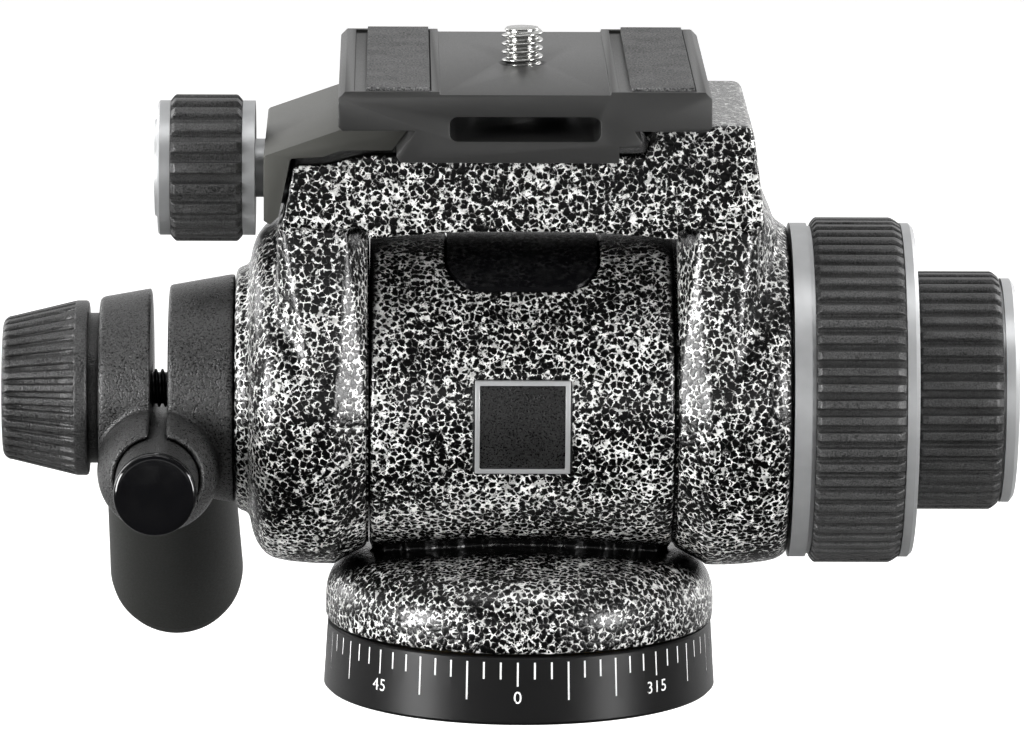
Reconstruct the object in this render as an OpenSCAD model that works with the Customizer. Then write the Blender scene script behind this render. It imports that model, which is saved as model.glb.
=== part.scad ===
// Fluid video head for a tripod. Millimetres, +Z up, origin in the middle of the base's underside.
// +X is the side of the two lock knobs, -Y is the front with the badge, the handle points to +Y.

/* [Graduated base] */
// Radius of the base at its upper edge
base_top_r = 29.7; // [29:0.1:32]
// How much wider the base is at its foot
base_taper = 0.6; // [0.2:0.1:1.5]
// Height of the base
base_h = 10.5; // [10:0.1:13]
// Thickness of the floor inside the base
base_floor = 4.5; // [4:0.1:5.5]
// Wall round the recess in the base
base_wall = 4.7; // [3.5:0.1:6]
// Radius of the tripod thread
tripod_r = 4.76; // [4.6:0.01:5]
// Length of the tripod thread
tripod_len = 10; // [8:0.1:10.4]
// Degrees from one scale mark to the next
mark_step = 5; // [5, 7.5, 15]
// Length of the short scale marks
mark_short = 2.6; // [1.5:0.1:3.5]
// Length of the marks that carry a number
mark_numbered = 3.7; // [2:0.1:4.5]
// Length of the long scale marks
mark_long = 5.9; // [3:0.1:7]
// Width of a scale mark
mark_w = 0.3; // [0.2:0.05:0.6]
// How far the scale's zero is turned from the front, in degrees
scale_turn = 1.2; // [0:0.1:2.4]
// Depth of a scale mark
mark_deep = 0.15; // [0.1:0.05:0.3]

/* [Turning body] */
// Gap between the base and the turning body
ring_gap = 0.4; // [0.3:0.05:0.8]
// How far the dome flange reaches past the base
flange_step = 0.3; // [0:0.1:1]
// Height of the flange's upright edge
flange_h = 3.6; // [3:0.1:5]
// Radius of the flange's shoulder
shoulder_r = 7; // [6:0.1:8]
// Rise of the dome above its shoulder
dome_rise = 2.5; // [1.5:0.1:3]
// Wall of the flange and thickness of the dome above the damper
flange_wall = 3.7; // [3.2:0.1:5]
// Radius of the drum
drum_r = 24.5; // [23.5:0.1:26]
// Width of the drum
drum_w = 46.6; // [46:0.1:50]
// How far the drum sinks into the dome
drum_sink = 2; // [1.5:0.1:3]
// Half width of the smooth cover on the drum
cover_half_w = 11.5; // [11.4:0.1:12.5]
// Half length of the smooth cover, measured flat
cover_half_l = 16; // [14:0.1:17]
// Corner radius of the smooth cover
cover_corner = 5; // [3:0.1:6]
// Thickness of the smooth cover
cover_t = 1.6; // [1.2:0.1:2.5]
// How far the badge sits below the middle of the drum
badge_drop = 1.6; // [0:0.1:2.5]
// Side of the badge
badge_w = 14.5; // [12:0.1:16]
// Width of the badge's bright frame
badge_frame_w = 0.75; // [0.5:0.05:1.5]
// Thickness of the badge
badge_t = 0.8; // [0.6:0.1:1.2]

/* [Pan bearing] */
// Radius of the pan spindle
spindle_r = 7.5; // [7:0.1:7.8]
// Thickness of the spindle's foot
spindle_foot_t = 3; // [2.5:0.1:3.5]
// Thickness of the thrust washer
thrust_t = 1.5; // [1:0.1:2]
// Height of the pan nut
nut_h = 5; // [4:0.1:6]
// Hexagon of the pan nut across its flats
nut_flats = 17; // [15:0.1:17.5]
// Number of rings on each half of the pan damper
damper_rings = 3; // [2:1:3]
// Thickness of a damper ring
damper_ring_t = 1; // [0.8:0.1:1.2]
// Thickness of a damper plate
damper_plate_t = 1.2; // [1:0.1:1.4]
// Travel of the pan lock's brake pin
pin_travel = 0.6; // [0.4:0.05:0.7]

/* [Tilt bearing and locks] */
// Radius of the tilt axle inside the right cheek
axle_r = 7; // [6.5:0.1:7.5]
// Radius of the push rod in the hollow axle
rod_r = 2.9; // [2.5:0.05:3.1]
// Radius of the left trunnion inside the drum
trunnion_r = 6; // [5.5:0.1:6.5]
// Wall of a tilt bush
bush_wall = 1.5; // [1.2:0.1:1.8]
// Radius of the tilt damper
tilt_damper_r = 18.5; // [17.5:0.1:19.5]
// Thickness of the brake lining
lining_t = 2; // [1.5:0.1:2.5]
// Thickness of the pressure plate
pressure_t = 3; // [2.5:0.1:4]
// Air between the released pressure plate and the lining
brake_air = 0.3; // [0.28:0.02:0.5]

/* [Tilt saddle] */
// Clearance between the drum and each cheek
arch_clear = 0.3; // [0.25:0.05:0.6]
// Depth of the bridge, front to back
bridge_d = 48; // [46:0.5:52]
// How far the bridge stands proud of the cheeks
bridge_proud = 1.2; // [0.8:0.1:2]
// Air between the drum and the bridge
bridge_air = 4; // [3.5:0.1:5]
// Rise of the shallow arch under the bridge
arch_sag = 1.3; // [0.8:0.1:1.8]
// Thickness of the bridge under the plate
bridge_t = 11.9; // [11.5:0.1:14]
// Half width of the bridge's top on the left
bridge_left = 34.9; // [34.5:0.1:36]
// Half width of the bridge's top on the right
bridge_right = 34.7; // [34:0.1:37]
// How much wider the bridge is at its foot
bridge_slant = 1.9; // [1:0.1:2.1]
// Width of the left leg where it meets the bridge
leg_left_w = 13.7; // [12.5:0.1:14.5]
// Width of the right leg where it meets the bridge
leg_right_w = 12.1; // [11.5:0.1:13]
// Width of the cove beside the drum, on the front and back of each leg
cove_w = 3.2; // [2:0.1:4]
// How deep the cove runs in from the front and from the back
cove_deep = 8; // [4:0.5:10]
// Width of each leg beside the tilt axis
leg_low_w = 7.9; // [7:0.1:10]
// Radius of the round end of each cheek
cheek_r = 27.1; // [26:0.1:27.5]
// Thickness of the left cheek
cheek_left = 20.3; // [19.8:0.1:22]
// Thickness of the right cheek
cheek_right = 17.4; // [17:0.1:19]
// Radius of the flat boss on the left cheek
boss_r = 18.9; // [17:0.1:19.5]
// Radius of the hollow for the brake in the right cheek
brake_bore_r = 22; // [20:0.1:22.5]

/* [Quick release] */
// Width of the plate
plate_w = 56; // [54:0.1:60]
// Length of the plate
plate_l = 67.6; // [64:0.1:76]
// Thickness of the plate's flange
plate_t = 5.95; // [5:0.05:7]
// Height of the dovetail under the flange
dovetail_h = 4.8; // [4.6:0.1:5.5]
// Half width of the dovetail's neck
neck_half = 16.4; // [16:0.1:17]
// How far the left dovetail flares
flare_left = 2.9; // [2.5:0.1:3.2]
// How far the right foot reaches past the neck
foot_reach = 1.2; // [1:0.1:1.5]
// Half width of the front slot
slot_half_w = 11.3; // [9:0.1:12]
// Height of the front slot
slot_h = 3.7; // [3:0.1:4.2]
// Half width of the channel along the top
channel_half = 12.8; // [12:0.1:13.2]
// Depth of the channel along the top
channel_deep = 0.45; // [0.3:0.05:0.8]
// Width of a rubber pad
pad_w = 9.5; // [8:0.1:10]
// Height of a rubber pad
pad_h = 1; // [0.8:0.1:1.5]
// Radius of the camera screw
camera_r = 3.175; // [3:0.005:3.2]
// Length of the camera screw above the channel
camera_len = 5.5; // [4.5:0.1:7]
// Thickness of the jaw's upright leg at its top
jaw_leg = 4.4; // [4:0.1:5]
// Opening travel of the jaw
jaw_travel = 3.5; // [3:0.1:4]
// Radius of the clamp screw
clamp_screw_r = 3; // [2.5:0.1:3]
// Radius of the clamp knob over its ribs
clamp_knob_r = 11.3; // [10:0.1:11.6]
// Width of the clamp knob's rubber
clamp_knob_w = 11.1; // [9:0.1:13]
// Width of a bright ring on the clamp knob
clamp_ring_w = 1.9; // [1.5:0.1:2.5]
// Number of ribs on the clamp knob
clamp_ribs = 21; // [16:1:26]

/* [Lock knobs] */
// Radius of the tilt lock wheel over its ribs
wheel_r = 26.65; // [25:0.05:28]
// Width of the tilt lock wheel's rubber
wheel_w = 13.7; // [12:0.1:16]
// Width of the wheel's bright ring beside the cheek
wheel_ring_in = 2.6; // [2:0.1:3.5]
// Width of the wheel's bright ring beside the small knob
wheel_ring_out = 1.9; // [1.5:0.1:3]
// Number of ribs on the tilt lock wheel
wheel_ribs = 66; // [48:1:72]
// Radius of the pan lock knob over its ribs
knob_r = 18.4; // [17:0.1:19.5]
// Width of the pan lock knob's rubber
knob_w = 13; // [12:0.1:15]
// Number of ribs on the pan lock knob
knob_ribs = 43; // [32:1:50]
// Thickness of the pan lock knob's end cap at its rim
knob_cap_t = 2; // [1.5:0.1:3]
// Depth of the ribs on all rubber grips
rib_deep = 0.7; // [0.4:0.05:0.9]
// Thickness of the rubber under the ribs
rubber_t = 1; // [0.8:0.05:1.2]

/* [Handle] */
// Width of the handle clamp's right jaw
clamp_in_w = 10.1; // [9:0.1:12]
// Width of the slot between the clamp's jaws
clamp_slot = 2.7; // [2:0.1:3.5]
// Width of the handle clamp's left jaw
clamp_out_w = 8; // [7.5:0.1:10]
// Radius of the handle clamp beside the cheek
clamp_big_r = 17.6; // [16.5:0.1:19]
// Radius of the handle clamp beside the cone knob
clamp_small_r = 14; // [13.5:0.1:15]
// Radius of the handle bar
bar_r = 6.3; // [5.5:0.1:6.4]
// Wall of the handle bar
bar_wall = 1.5; // [1:0.1:2]
// How far the bar's axis lies below the tilt axis
bar_drop = 9.9; // [9.8:0.1:10.5]
// Radius of the boss round the bar
bar_boss_r = 9.35; // [9:0.05:10]
// Half length of the boss round the bar
bar_boss_half = 16.5; // [15.5:0.1:18]
// Length of the boss's tapered noses
bar_nose = 6.6; // [5:0.1:8]
// How far the bar's stub stands out in front of its boss
bar_stub = 12.6; // [12:0.1:20]
// Thickness of the bar's end cap
bar_cap_t = 1.7; // [1.2:0.1:3]
// Angle of the bend in the bar
bar_bend = 32; // [20:1:40]
// Radius of the bend in the bar
bar_bend_r = 18; // [15:0.5:25]
// Distance from the bend to the rubber grip
grip_start = 3.4; // [2:0.1:20]
// Length of the rubber grip without its round end
grip_len = 62; // [50:1:120]
// Radius of the grip at its round end
grip_r = 11; // [10:0.1:13]
// Radius of the grip where the bar goes in
grip_neck_r = 10; // [9:0.1:11]
// Radius of the stud through the handle clamp
stud_r = 3; // [2.5:0.1:3]
// Width of the washer under the cone knob
washer_w = 1.6; // [1.2:0.1:2.5]
// Radius of the washer under the cone knob
washer_r = 11.6; // [11:0.1:12.5]
// Length of the cone knob
cone_len = 13.2; // [12:0.1:18]
// Radius of the cone knob at its wide end
cone_r = 13.5; // [13:0.1:14]
// Radius of the cone knob at its narrow end
cone_end_r = 11; // [10:0.1:12]
// Number of flutes on the cone knob
cone_flutes = 36; // [24:1:40]

/* [Hidden] */
$fn = 96;

// Clearances: round fits, flat seats, free room, and faces that turn past each other
fit = 0.05;
seat_gap = 0.1;
play = 0.2;
slide_gap = 0.3;
air = 0.8;

// Base and turning body
base_foot_r = base_top_r + base_taper;
flange_r = base_top_r + flange_step;
flange_z = base_h + ring_gap;
shoulder_z = flange_z + flange_h + shoulder_r;
dome_z = shoulder_z + dome_rise;
axis_z = dome_z - drum_sink + drum_r;
cavity_z = shoulder_z - flange_wall;
cavity_r = flange_r - flange_wall;
recess_r = base_top_r - base_wall;
foot_z = base_floor + spindle_foot_t;
thrust_z = foot_z + 5.5;
boss_z = thrust_z + thrust_t;
nut_seat_z = axis_z - drum_r + 4;
spring_washer_t = 1.7;
nut_z = nut_seat_z + seat_gap + spring_washer_t;
spindle_end_z = nut_z + nut_h + 1.5;

// Radii round the pan spindle
bush_t = 1.5;
pan_bush_r = spindle_r + fit + bush_t;
pan_boss_r = pan_bush_r + 2.9;
spindle_hub_r = spindle_r + 2;
spindle_thread_r = spindle_r - 2;
spindle_foot_r = recess_r - 5;
damper_r = min(recess_r, cavity_r) - 0.5;
damper_pitch = (damper_r - pan_boss_r - play) / damper_rings;
nut_corner_r = nut_flats / 2 / cos(30);
nut_pocket_r = nut_corner_r + 0.5;
guide_r = nut_pocket_r + 0.6;

// Tripod bush and base screws
bush_body_r = tripod_r + 3.2;
bush_flange_r = bush_body_r + 3;
bush_flange_t = 2;
bush_neck_r = tripod_r + 2;
bush_top_z = tripod_len + 1;
base_screw_r = 1.5;
base_screw_ring = (bush_flange_r + spindle_foot_r) / 2;

// Pan lock: rod tip, brake pin and guide
rod_tip_x = -1.2;
rod_bore_r = rod_r + 0.1;
pin_r = 3;
pin_pad_r = 4.5;
pin_pad_t = 2;
pin_cut = 6 * pin_r;
pin_z = spindle_end_z + pin_travel + play;
guide_z = pin_z + pin_pad_t + slide_gap;
guide_top_z = axis_z + rod_r + 2.5;

// Places along the tilt axis, from the middle outwards
drum_half = drum_w / 2;
arch_half = drum_half + arch_clear;
web_x = guide_r + fit + 1;
end_cap_t = 2;
hub_x = drum_half - end_cap_t - 2.4;
rotor_x = hub_x - play;
rotor_t = 1;
tilt_ring_t = 1;
tilt_ring_r = trunnion_r + bush_wall + 2.1;
tilt_pitch = (tilt_damper_r - air - tilt_ring_r) / 2;
axle_flange_r = axle_r + 6.9;
axle_flange_t = 4;
axle_screw_r = 1.5;
axle_screw_deep = 4;
axle_screw_y = 10;
axle_screw_z = 4;
cheek_floor_x = arch_half + 5.4;
housing_x = arch_half + cheek_right;
plate_x = cheek_floor_x + lining_t + brake_air;
sleeve_r = axle_r + 2.4;
wheel_x = housing_x + slide_gap;
wheel_rubber_x = wheel_x + wheel_ring_in + 0.7;
wheel_ring_x = wheel_rubber_x + wheel_w + seat_gap;
wheel_end_x = wheel_ring_x + wheel_ring_out;
sleeve_end_x = wheel_x + 0.635 * wheel_w;
axle_step_x = wheel_ring_x - 2.4 - seat_gap;
axle_end_r = axle_r - 1;
stub_r = axle_r - 2;
clip_t = 1;
clip_reach = 2;
groove_deep = 0.6;
key_x = plate_x + 1;
key_len = 10;
key_w = 2.4;
key_deep = 1.6;
wheel_clip_x = wheel_end_x + seat_gap;
knob_x = wheel_end_x + slide_gap;
knob_rubber_end = knob_x + knob_w;
stub_x = wheel_clip_x + clip_t + 2.4;
stub_end_x = knob_rubber_end - 3.8;
knob_clip_x = stub_end_x - seat_gap - clip_t - 0.4;
hub_end_x = knob_clip_x - seat_gap;
plug_x = stub_end_x + play;
rod_end_x = knob_rubber_end - 1.6;

// Places on the left of the tilt axis, measured towards -X
cheek_face = arch_half + cheek_left;
trunnion_body_r = trunnion_r + 2;
trunnion_flange_r = trunnion_r + 6;
trunnion_flange_t = 4.5;
trunnion_flange_x = cheek_face - 0.5;
trunnion_screw_r = 1.2;
trunnion_screw_ring = trunnion_body_r + 1.8;
clamp_x = cheek_face + 0.15;
slot_x = clamp_x + clamp_in_w;
slot_far_x = slot_x + clamp_slot;
clamp_end = slot_far_x + clamp_out_w;
washer_x = clamp_end + seat_gap;
cone_x = washer_x + washer_w;
cone_end = cone_x + cone_len;
bar_x = (slot_x + slot_far_x) / 2;
bar_z = axis_z - bar_drop;
nose_r = bar_r + 0.9;
bar_front_y = bar_boss_half + bar_nose + bar_stub;
bar_back_y = bar_boss_half + bar_nose + 4;
bend_end_y = bar_back_y + bar_bend_r * sin(bar_bend);
bend_end_z = bar_z - bar_bend_r * (1 - cos(bar_bend));

// Tilt saddle
bridge_z = axis_z + drum_r + bridge_air;
arch_low_z = bridge_z - arch_sag;
ledge_z = bridge_z + 0.5;
deck_z = bridge_z + bridge_t;
left_top_z = deck_z - 1.8;
bridge_half = bridge_d / 2;
cheek_half = bridge_half - bridge_proud;
leg_low_z = axis_z + sqrt(cheek_r * cheek_r - cheek_half * cheek_half);
dome_air = 0.75;

// Quick release plate, fixed lip and jaw
plate_z = deck_z + play;
flange_low = plate_z + dovetail_h;
plate_top = flange_low + plate_t;
foot_left = neck_half + flare_left;
foot_right = neck_half + foot_reach;
deck_left_x = foot_left + 4.7;
fall_x = foot_left + 10.4;
foot_low = plate_z + dovetail_h / 2;
foot_step = foot_right - 3.5;
lip_z = flange_low - 0.6;
lip_gap = 0.25;
jaw_out = bridge_left + jaw_leg;
jaw_gap = 0.6;
jaw_top_z = flange_low - 1.35;
jaw_low_z = deck_z + jaw_gap;
jaw_half = bridge_half + slide_gap;
screw_z = bridge_z + 5.95;
screw_end_x = 22;
guide_pin_r = 2;
guide_pin_y = 16;
guide_pin_z = screw_z - 0.9;
guide_pin_end = 25;
spring_r = 3.2;
spring_end = bridge_left - jaw_travel - 0.4;
collar_x = jaw_out + seat_gap;
clamp_ring_in = collar_x + 1.5;
clamp_rubber_x = clamp_ring_in + clamp_ring_w;
clamp_ring_out = clamp_rubber_x + clamp_knob_w;
clamp_ring_r = clamp_knob_r - 0.95;
camera_shank_r = camera_r - 0.8;
camera_head_r = 7;
camera_head_t = 3;
pad_recess_w = pad_w + 2;
pad_recess_deep = pad_h / 2;
pad_place = (channel_half + plate_w / 2) / 2 - 0.55;
slot_z = flange_low - 1.55;
channel_z = plate_top - channel_deep;

// Height of the turning body's flange and dome at a distance from its axis
function dome_top(p) = let (flat = flange_r - shoulder_r)
    p > flat ? flange_z + flange_h + sqrt(max(0, shoulder_r * shoulder_r - (p - flat) * (p - flat)))
        : shoulder_z + 1.6 * dome_rise * (1 - p / flat);

// Left side of the bridge at a height
function bridge_side(z) =
    -bridge_left - bridge_slant * (left_top_z - z) / (left_top_z - ledge_z);

// Outline of a ribbed grip: narrow grooves between flat ribs
function ribbed(r, deep, count) =
    [for (i = [0 : count - 1], k = [0 : 3])
        let (a = 360 / count * (i + [0, 0.56, 0.64, 0.92][k]))
        (k < 2 ? r : r - deep) * [cos(a), sin(a)]];

// Points on an arc
function arc(centre, r, from, to, steps) =
    [for (i = [0 : steps]) let (a = from + (to - from) * i / steps) centre + r * [cos(a), sin(a)]];

// Cylinder along X from x0 to x1, on the tilt axis unless a height is given
module x_rod(x0, x1, r, z = axis_z) {
    translate([x0, 0, z]) rotate([0, 90, 0]) cylinder(h = x1 - x0, r = r);
}

module x_tube(x0, x1, outer, inner, z = axis_z) {
    difference() {
        x_rod(x0, x1, outer, z);
        x_rod(x0 - 1, x1 + 1, inner, z);
    }
}

// Solid turned about an axis along X; points are [radius, x]
module x_turned(points, z = axis_z) {
    translate([0, 0, z]) rotate([0, 90, 0]) rotate_extrude() polygon(points);
}

// Solid turned about the handle bar's straight axis; points are [radius, y]
module bar_turned(points) {
    translate([-bar_x, 0, bar_z]) rotate([-90, 0, 0]) rotate_extrude() polygon(points);
}

module z_tube(z0, z1, outer, inner) {
    translate([0, 0, z0]) difference() {
        cylinder(h = z1 - z0, r = outer);
        translate([0, 0, -1]) cylinder(h = z1 - z0 + 2, r = inner);
    }
}

// Outline in the X-Z plane, drawn out along Y
module xz_solid(y0, y1) {
    translate([0, y1, 0]) rotate([90, 0, 0]) linear_extrude(height = y1 - y0) children();
}

module round_rect(x, y, w, h, r) {
    translate([x + r, y]) square([w - 2 * r, h]);
    translate([x, y + r]) square([w, h - 2 * r]);
    for (cx = [x + r, x + w - r], cy = [y + r, y + h - r]) translate([cx, cy]) circle(r = r);
}

// Ribbed rubber sleeve from x0, with chamfered ends
module rubber_sleeve(x0, w, r, count, bore, chamfer, z = axis_z) {
    translate([x0, 0, z]) rotate([0, 90, 0]) difference() {
        union() {
            translate([0, 0, chamfer]) linear_extrude(height = w - 2 * chamfer)
                polygon(ribbed(r, rib_deep, count));
            rotate_extrude() polygon([[0, 0], [r - rib_deep - chamfer * 0.6, 0], [r - rib_deep * 0.7, chamfer],
                [r - rib_deep, chamfer], [r - rib_deep, w - chamfer], [r - rib_deep * 0.7, w - chamfer],
                [r - rib_deep - chamfer * 0.6, w], [0, w]]);
        }
        translate([0, 0, -1]) cylinder(h = w + 2, r = bore);
    }
}

// Copies round an axis along X
module round_x(count, ring, x0) {
    for (i = [0 : count - 1])
        translate([x0, 0, axis_z]) rotate([45 + 360 / count * i, 0, 0]) translate([0, 0, ring])
            rotate([0, 90, 0]) children();
}

module base_screw_places() {
    for (a = [45 : 90 : 315]) rotate([0, 0, a]) translate([base_screw_ring, 0, 0]) children();
}

// Countersunk screw with its head downwards
module countersunk(r, length, extra) {
    cylinder(h = length, r = r + extra);
    cylinder(h = r, r1 = 2 * r + extra, r2 = r + extra);
}

module scale_marks() {
    slope = atan((base_foot_r - base_top_r) / base_h);
    for (a = [0 : mark_step : 359]) {
        length = a % 45 == 0 ? mark_numbered : a % 15 == 0 ? mark_long : mark_short;
        rotate([0, 0, a - 90 - scale_turn]) translate([base_top_r, 0, base_h]) rotate([0, -slope, 0])
            translate([-mark_deep, -mark_w / 2, -0.8 - length]) cube([2, mark_w, length]);
    }
}

module base_ring() {
    head_z = 0.2;
    color("#1c1c1d") difference() {
        rotate_extrude() polygon([[0, 0], [base_foot_r - 0.5, 0], [base_foot_r, 0.5],
            [base_top_r, base_h - 0.3], [base_top_r - 0.3, base_h], [0, base_h]]);
        translate([0, 0, base_floor]) cylinder(h = base_h, r = recess_r);
        translate([0, 0, -1]) cylinder(h = base_h, r = bush_body_r + fit);
        base_screw_places() translate([0, 0, head_z]) countersunk(base_screw_r, base_floor + 1, fit);
        base_screw_places() translate([0, 0, -1]) cylinder(h = 1 + head_z, r = 2 * base_screw_r + fit);
        scale_marks();
    }
}

module tripod_bush() {
    color("#b9bbbd") difference() {
        union() {
            cylinder(h = base_floor + 1, r = bush_body_r);
            translate([0, 0, base_floor]) cylinder(h = bush_flange_t, r = bush_flange_r);
            cylinder(h = bush_top_z, r = bush_neck_r);
        }
        translate([0, 0, -1]) cylinder(h = tripod_len + 1, r = tripod_r);
    }
}

module base_screws() {
    color("#8d8f91") base_screw_places() translate([0, 0, 0.2]) countersunk(base_screw_r, foot_z - 0.6, 0);
}

module pan_spindle() {
    color("#a9abad") difference() {
        union() {
            translate([0, 0, base_floor]) cylinder(h = spindle_foot_t, r = spindle_foot_r);
            translate([0, 0, base_floor]) cylinder(h = thrust_z - base_floor, r = spindle_hub_r);
            translate([0, 0, base_floor]) cylinder(h = nut_z - play - base_floor, r = spindle_r);
            translate([0, 0, base_floor]) cylinder(h = spindle_end_z - base_floor, r = spindle_thread_r);
        }
        cylinder(h = base_floor + bush_flange_t + seat_gap, r = bush_flange_r + seat_gap);
        cylinder(h = bush_top_z + seat_gap, r = bush_neck_r + fit);
        base_screw_places() cylinder(h = foot_z + 1, r = base_screw_r + fit);
    }
}

module damper_rings_at(r0, z0, z1) {
    for (i = [0 : damper_rings - 1])
        z_tube(z0, z1, r0 + i * damper_pitch + damper_ring_t, r0 + i * damper_pitch);
}

module pan_damper_cup() {
    top = cavity_z - damper_plate_t - air;
    color("#8f7b4a") union() {
        z_tube(foot_z, foot_z + damper_plate_t, damper_r, spindle_hub_r + fit);
        damper_rings_at(pan_boss_r + play + damper_pitch / 2, foot_z, top);
    }
}

module pan_damper_rotor() {
    color("#9a8650") union() {
        z_tube(cavity_z - damper_plate_t, cavity_z, damper_r, pan_boss_r + fit);
        damper_rings_at(pan_boss_r + play, foot_z + damper_plate_t + air, cavity_z);
    }
}

module pan_thrust_washer() {
    color("#d8d4c4") z_tube(thrust_z, boss_z - seat_gap, pan_boss_r - 0.6, spindle_r + fit);
}

module pan_bush() {
    color("#a58a4c") z_tube(boss_z, nut_seat_z, pan_bush_r, spindle_r + fit);
}

module pan_spring_washer() {
    color("#9fa1a3") z_tube(nut_seat_z + seat_gap, nut_z, nut_corner_r, spindle_r + fit);
}

module pan_nut() {
    color("#b0b2b4") translate([0, 0, nut_z]) difference() {
        cylinder(h = nut_h, r = nut_corner_r, $fn = 6);
        translate([0, 0, -1]) cylinder(h = nut_h + 2, r = spindle_thread_r + fit);
    }
}

module cover_outline(grow) {
    round_rect(-cover_half_w - grow, -cover_half_l - grow,
        2 * (cover_half_w + grow), 2 * (cover_half_l + grow), cover_corner + grow);
}

module badge_block(w) {
    translate([-w / 2, -drum_r - 5, axis_z - badge_drop - w / 2]) cube([w, drum_r, w]);
}

module axle_screw_places() {
    for (y = [-axle_screw_y, axle_screw_y], z = [-axle_screw_z, axle_screw_z])
        translate([web_x, y, axis_z + z]) rotate([0, 90, 0]) children();
}

module pan_body() {
    shoulder = arc([flange_r - shoulder_r, flange_z + flange_h], shoulder_r, 0, 90, 12);
    half_r = (flange_r - shoulder_r) / 2;
    color("#57585a") difference() {
        union() {
            rotate_extrude() polygon(concat([[0, flange_z], [flange_r, flange_z]], shoulder,
                [[half_r, dome_top(half_r)], [0, dome_z]]));
            x_turned([[0, -drum_half], [drum_r - 0.6, -drum_half], [drum_r, 0.6 - drum_half],
                [drum_r, drum_half - 0.6], [drum_r - 0.6, drum_half], [0, drum_half]]);
        }
        z_tube(flange_z - 1, cavity_z, cavity_r, pan_boss_r);
        cylinder(h = boss_z, r = pan_boss_r + seat_gap);
        cylinder(h = axis_z, r = pan_bush_r + fit);
        translate([0, 0, nut_seat_z]) cylinder(h = axis_z, r = nut_pocket_r);
        translate([0, 0, guide_z]) cylinder(h = axis_z, r = guide_r + fit);
        x_rod(-drum_half - 1, end_cap_t - drum_half, tilt_damper_r + 1.5 + fit);
        x_rod(-drum_half, -web_x, tilt_damper_r + fit);
        x_rod(web_x, drum_half + 1, axle_flange_r + fit);
        x_rod(0, web_x + 1, rod_bore_r + play);
        axle_screw_places() translate([0, 0, -axle_screw_deep])
            cylinder(h = axle_screw_deep + 1, r = axle_screw_r + fit);
        difference() {
            translate([0, 0, axis_z]) linear_extrude(height = drum_r + 5) cover_outline(0.15);
            x_rod(-drum_half, drum_half, drum_r - cover_t);
        }
        difference() {
            badge_block(badge_w + 0.3);
            x_rod(-drum_half, drum_half, drum_r - badge_t);
        }
    }
}

module drum_cover() {
    color("#161617") intersection() {
        translate([0, 0, axis_z]) linear_extrude(height = drum_r + 5) cover_outline(0);
        x_tube(-drum_half, drum_half, drum_r + 0.1, drum_r - cover_t + fit);
    }
}

module badge_frame() {
    color("#c9cacb") difference() {
        intersection() {
            badge_block(badge_w);
            x_tube(-drum_half, drum_half, drum_r + 0.25, drum_r - badge_t + fit);
        }
        badge_block(badge_w - 2 * badge_frame_w);
    }
}

module badge_panel() {
    color("#202021") intersection() {
        badge_block(badge_w - 2 * badge_frame_w - 2 * fit);
        x_tube(-drum_half, drum_half, drum_r, drum_r - badge_t + fit);
    }
}

module drum_end_cap() {
    color("#6c6e70") difference() {
        union() {
            x_rod(-drum_half, end_cap_t - drum_half, tilt_damper_r + 1.5);
            x_rod(-drum_half, -hub_x, trunnion_r + bush_wall + 2);
        }
        x_rod(-drum_half - 1, 0, trunnion_r + bush_wall + 2 * fit);
    }
}

module tilt_bush_left() {
    color("#a58a4c") x_tube(-drum_half, -hub_x, trunnion_r + fit + bush_wall, trunnion_r + fit);
}

// Two rings of the tilt damper, from r0 outwards
module tilt_rings(x0, x1, r0) {
    for (i = [0, 1]) x_tube(x0, x1, r0 + tilt_ring_t + i * tilt_pitch, r0 + i * tilt_pitch);
}

module tilt_damper_cup() {
    color("#8f7b4a") union() {
        x_tube(-web_x - rotor_t, -web_x, tilt_damper_r, trunnion_r);
        tilt_rings(rotor_t + air - rotor_x, -web_x, tilt_ring_r + tilt_pitch / 2);
    }
}

module tilt_damper_rotor() {
    color("#9a8650") union() {
        x_tube(-rotor_x, rotor_t - rotor_x, tilt_damper_r - air, trunnion_r + fit);
        tilt_rings(-rotor_x, -web_x - rotor_t - air, tilt_ring_r);
    }
}

module key_block(low, high, x0, x1, w) {
    translate([x0, -w / 2, axis_z + low]) cube([x1 - x0, w, high - low]);
}

module tilt_axle() {
    color("#aeb0b2") difference() {
        union() {
            x_rod(web_x, web_x + axle_flange_t, axle_flange_r);
            x_rod(web_x, axle_step_x, axle_r);
            x_rod(web_x, stub_x, axle_end_r);
            x_rod(web_x, stub_end_x, stub_r);
        }
        x_rod(web_x - 1, stub_end_x + 1, rod_bore_r);
        x_tube(wheel_clip_x, wheel_clip_x + clip_t, axle_r, axle_end_r - groove_deep);
        x_tube(knob_clip_x, knob_clip_x + clip_t, axle_r, stub_r - groove_deep);
        key_block(axle_r - key_deep, axle_r + 1, key_x, key_x + key_len, key_w);
        axle_screw_places() translate([0, 0, -1]) cylinder(h = axle_flange_t + 2, r = axle_screw_r + fit);
    }
}

module brake_key() {
    color("#8d8f91") key_block(axle_r - key_deep + fit, axle_r + 0.9, key_x + fit, key_x + key_len - fit,
        key_w - 2 * fit);
}

module axle_screws() {
    color("#8d8f91") axle_screw_places() union() {
        translate([0, 0, play - axle_screw_deep])
            cylinder(h = axle_flange_t + axle_screw_deep, r = axle_screw_r);
        translate([0, 0, axle_flange_t]) cylinder(h = 2, r = axle_screw_r + 1.1);
    }
}

module brake_pin_guide() {
    color("#7d7f81") difference() {
        translate([0, 0, guide_z]) cylinder(h = guide_top_z - guide_z, r = guide_r);
        translate([0, 0, guide_z - 1]) cylinder(h = axis_z - guide_z + 1, r = pin_r + fit);
        x_rod(rod_tip_x - 2, guide_r + 1, rod_bore_r);
    }
}

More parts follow.
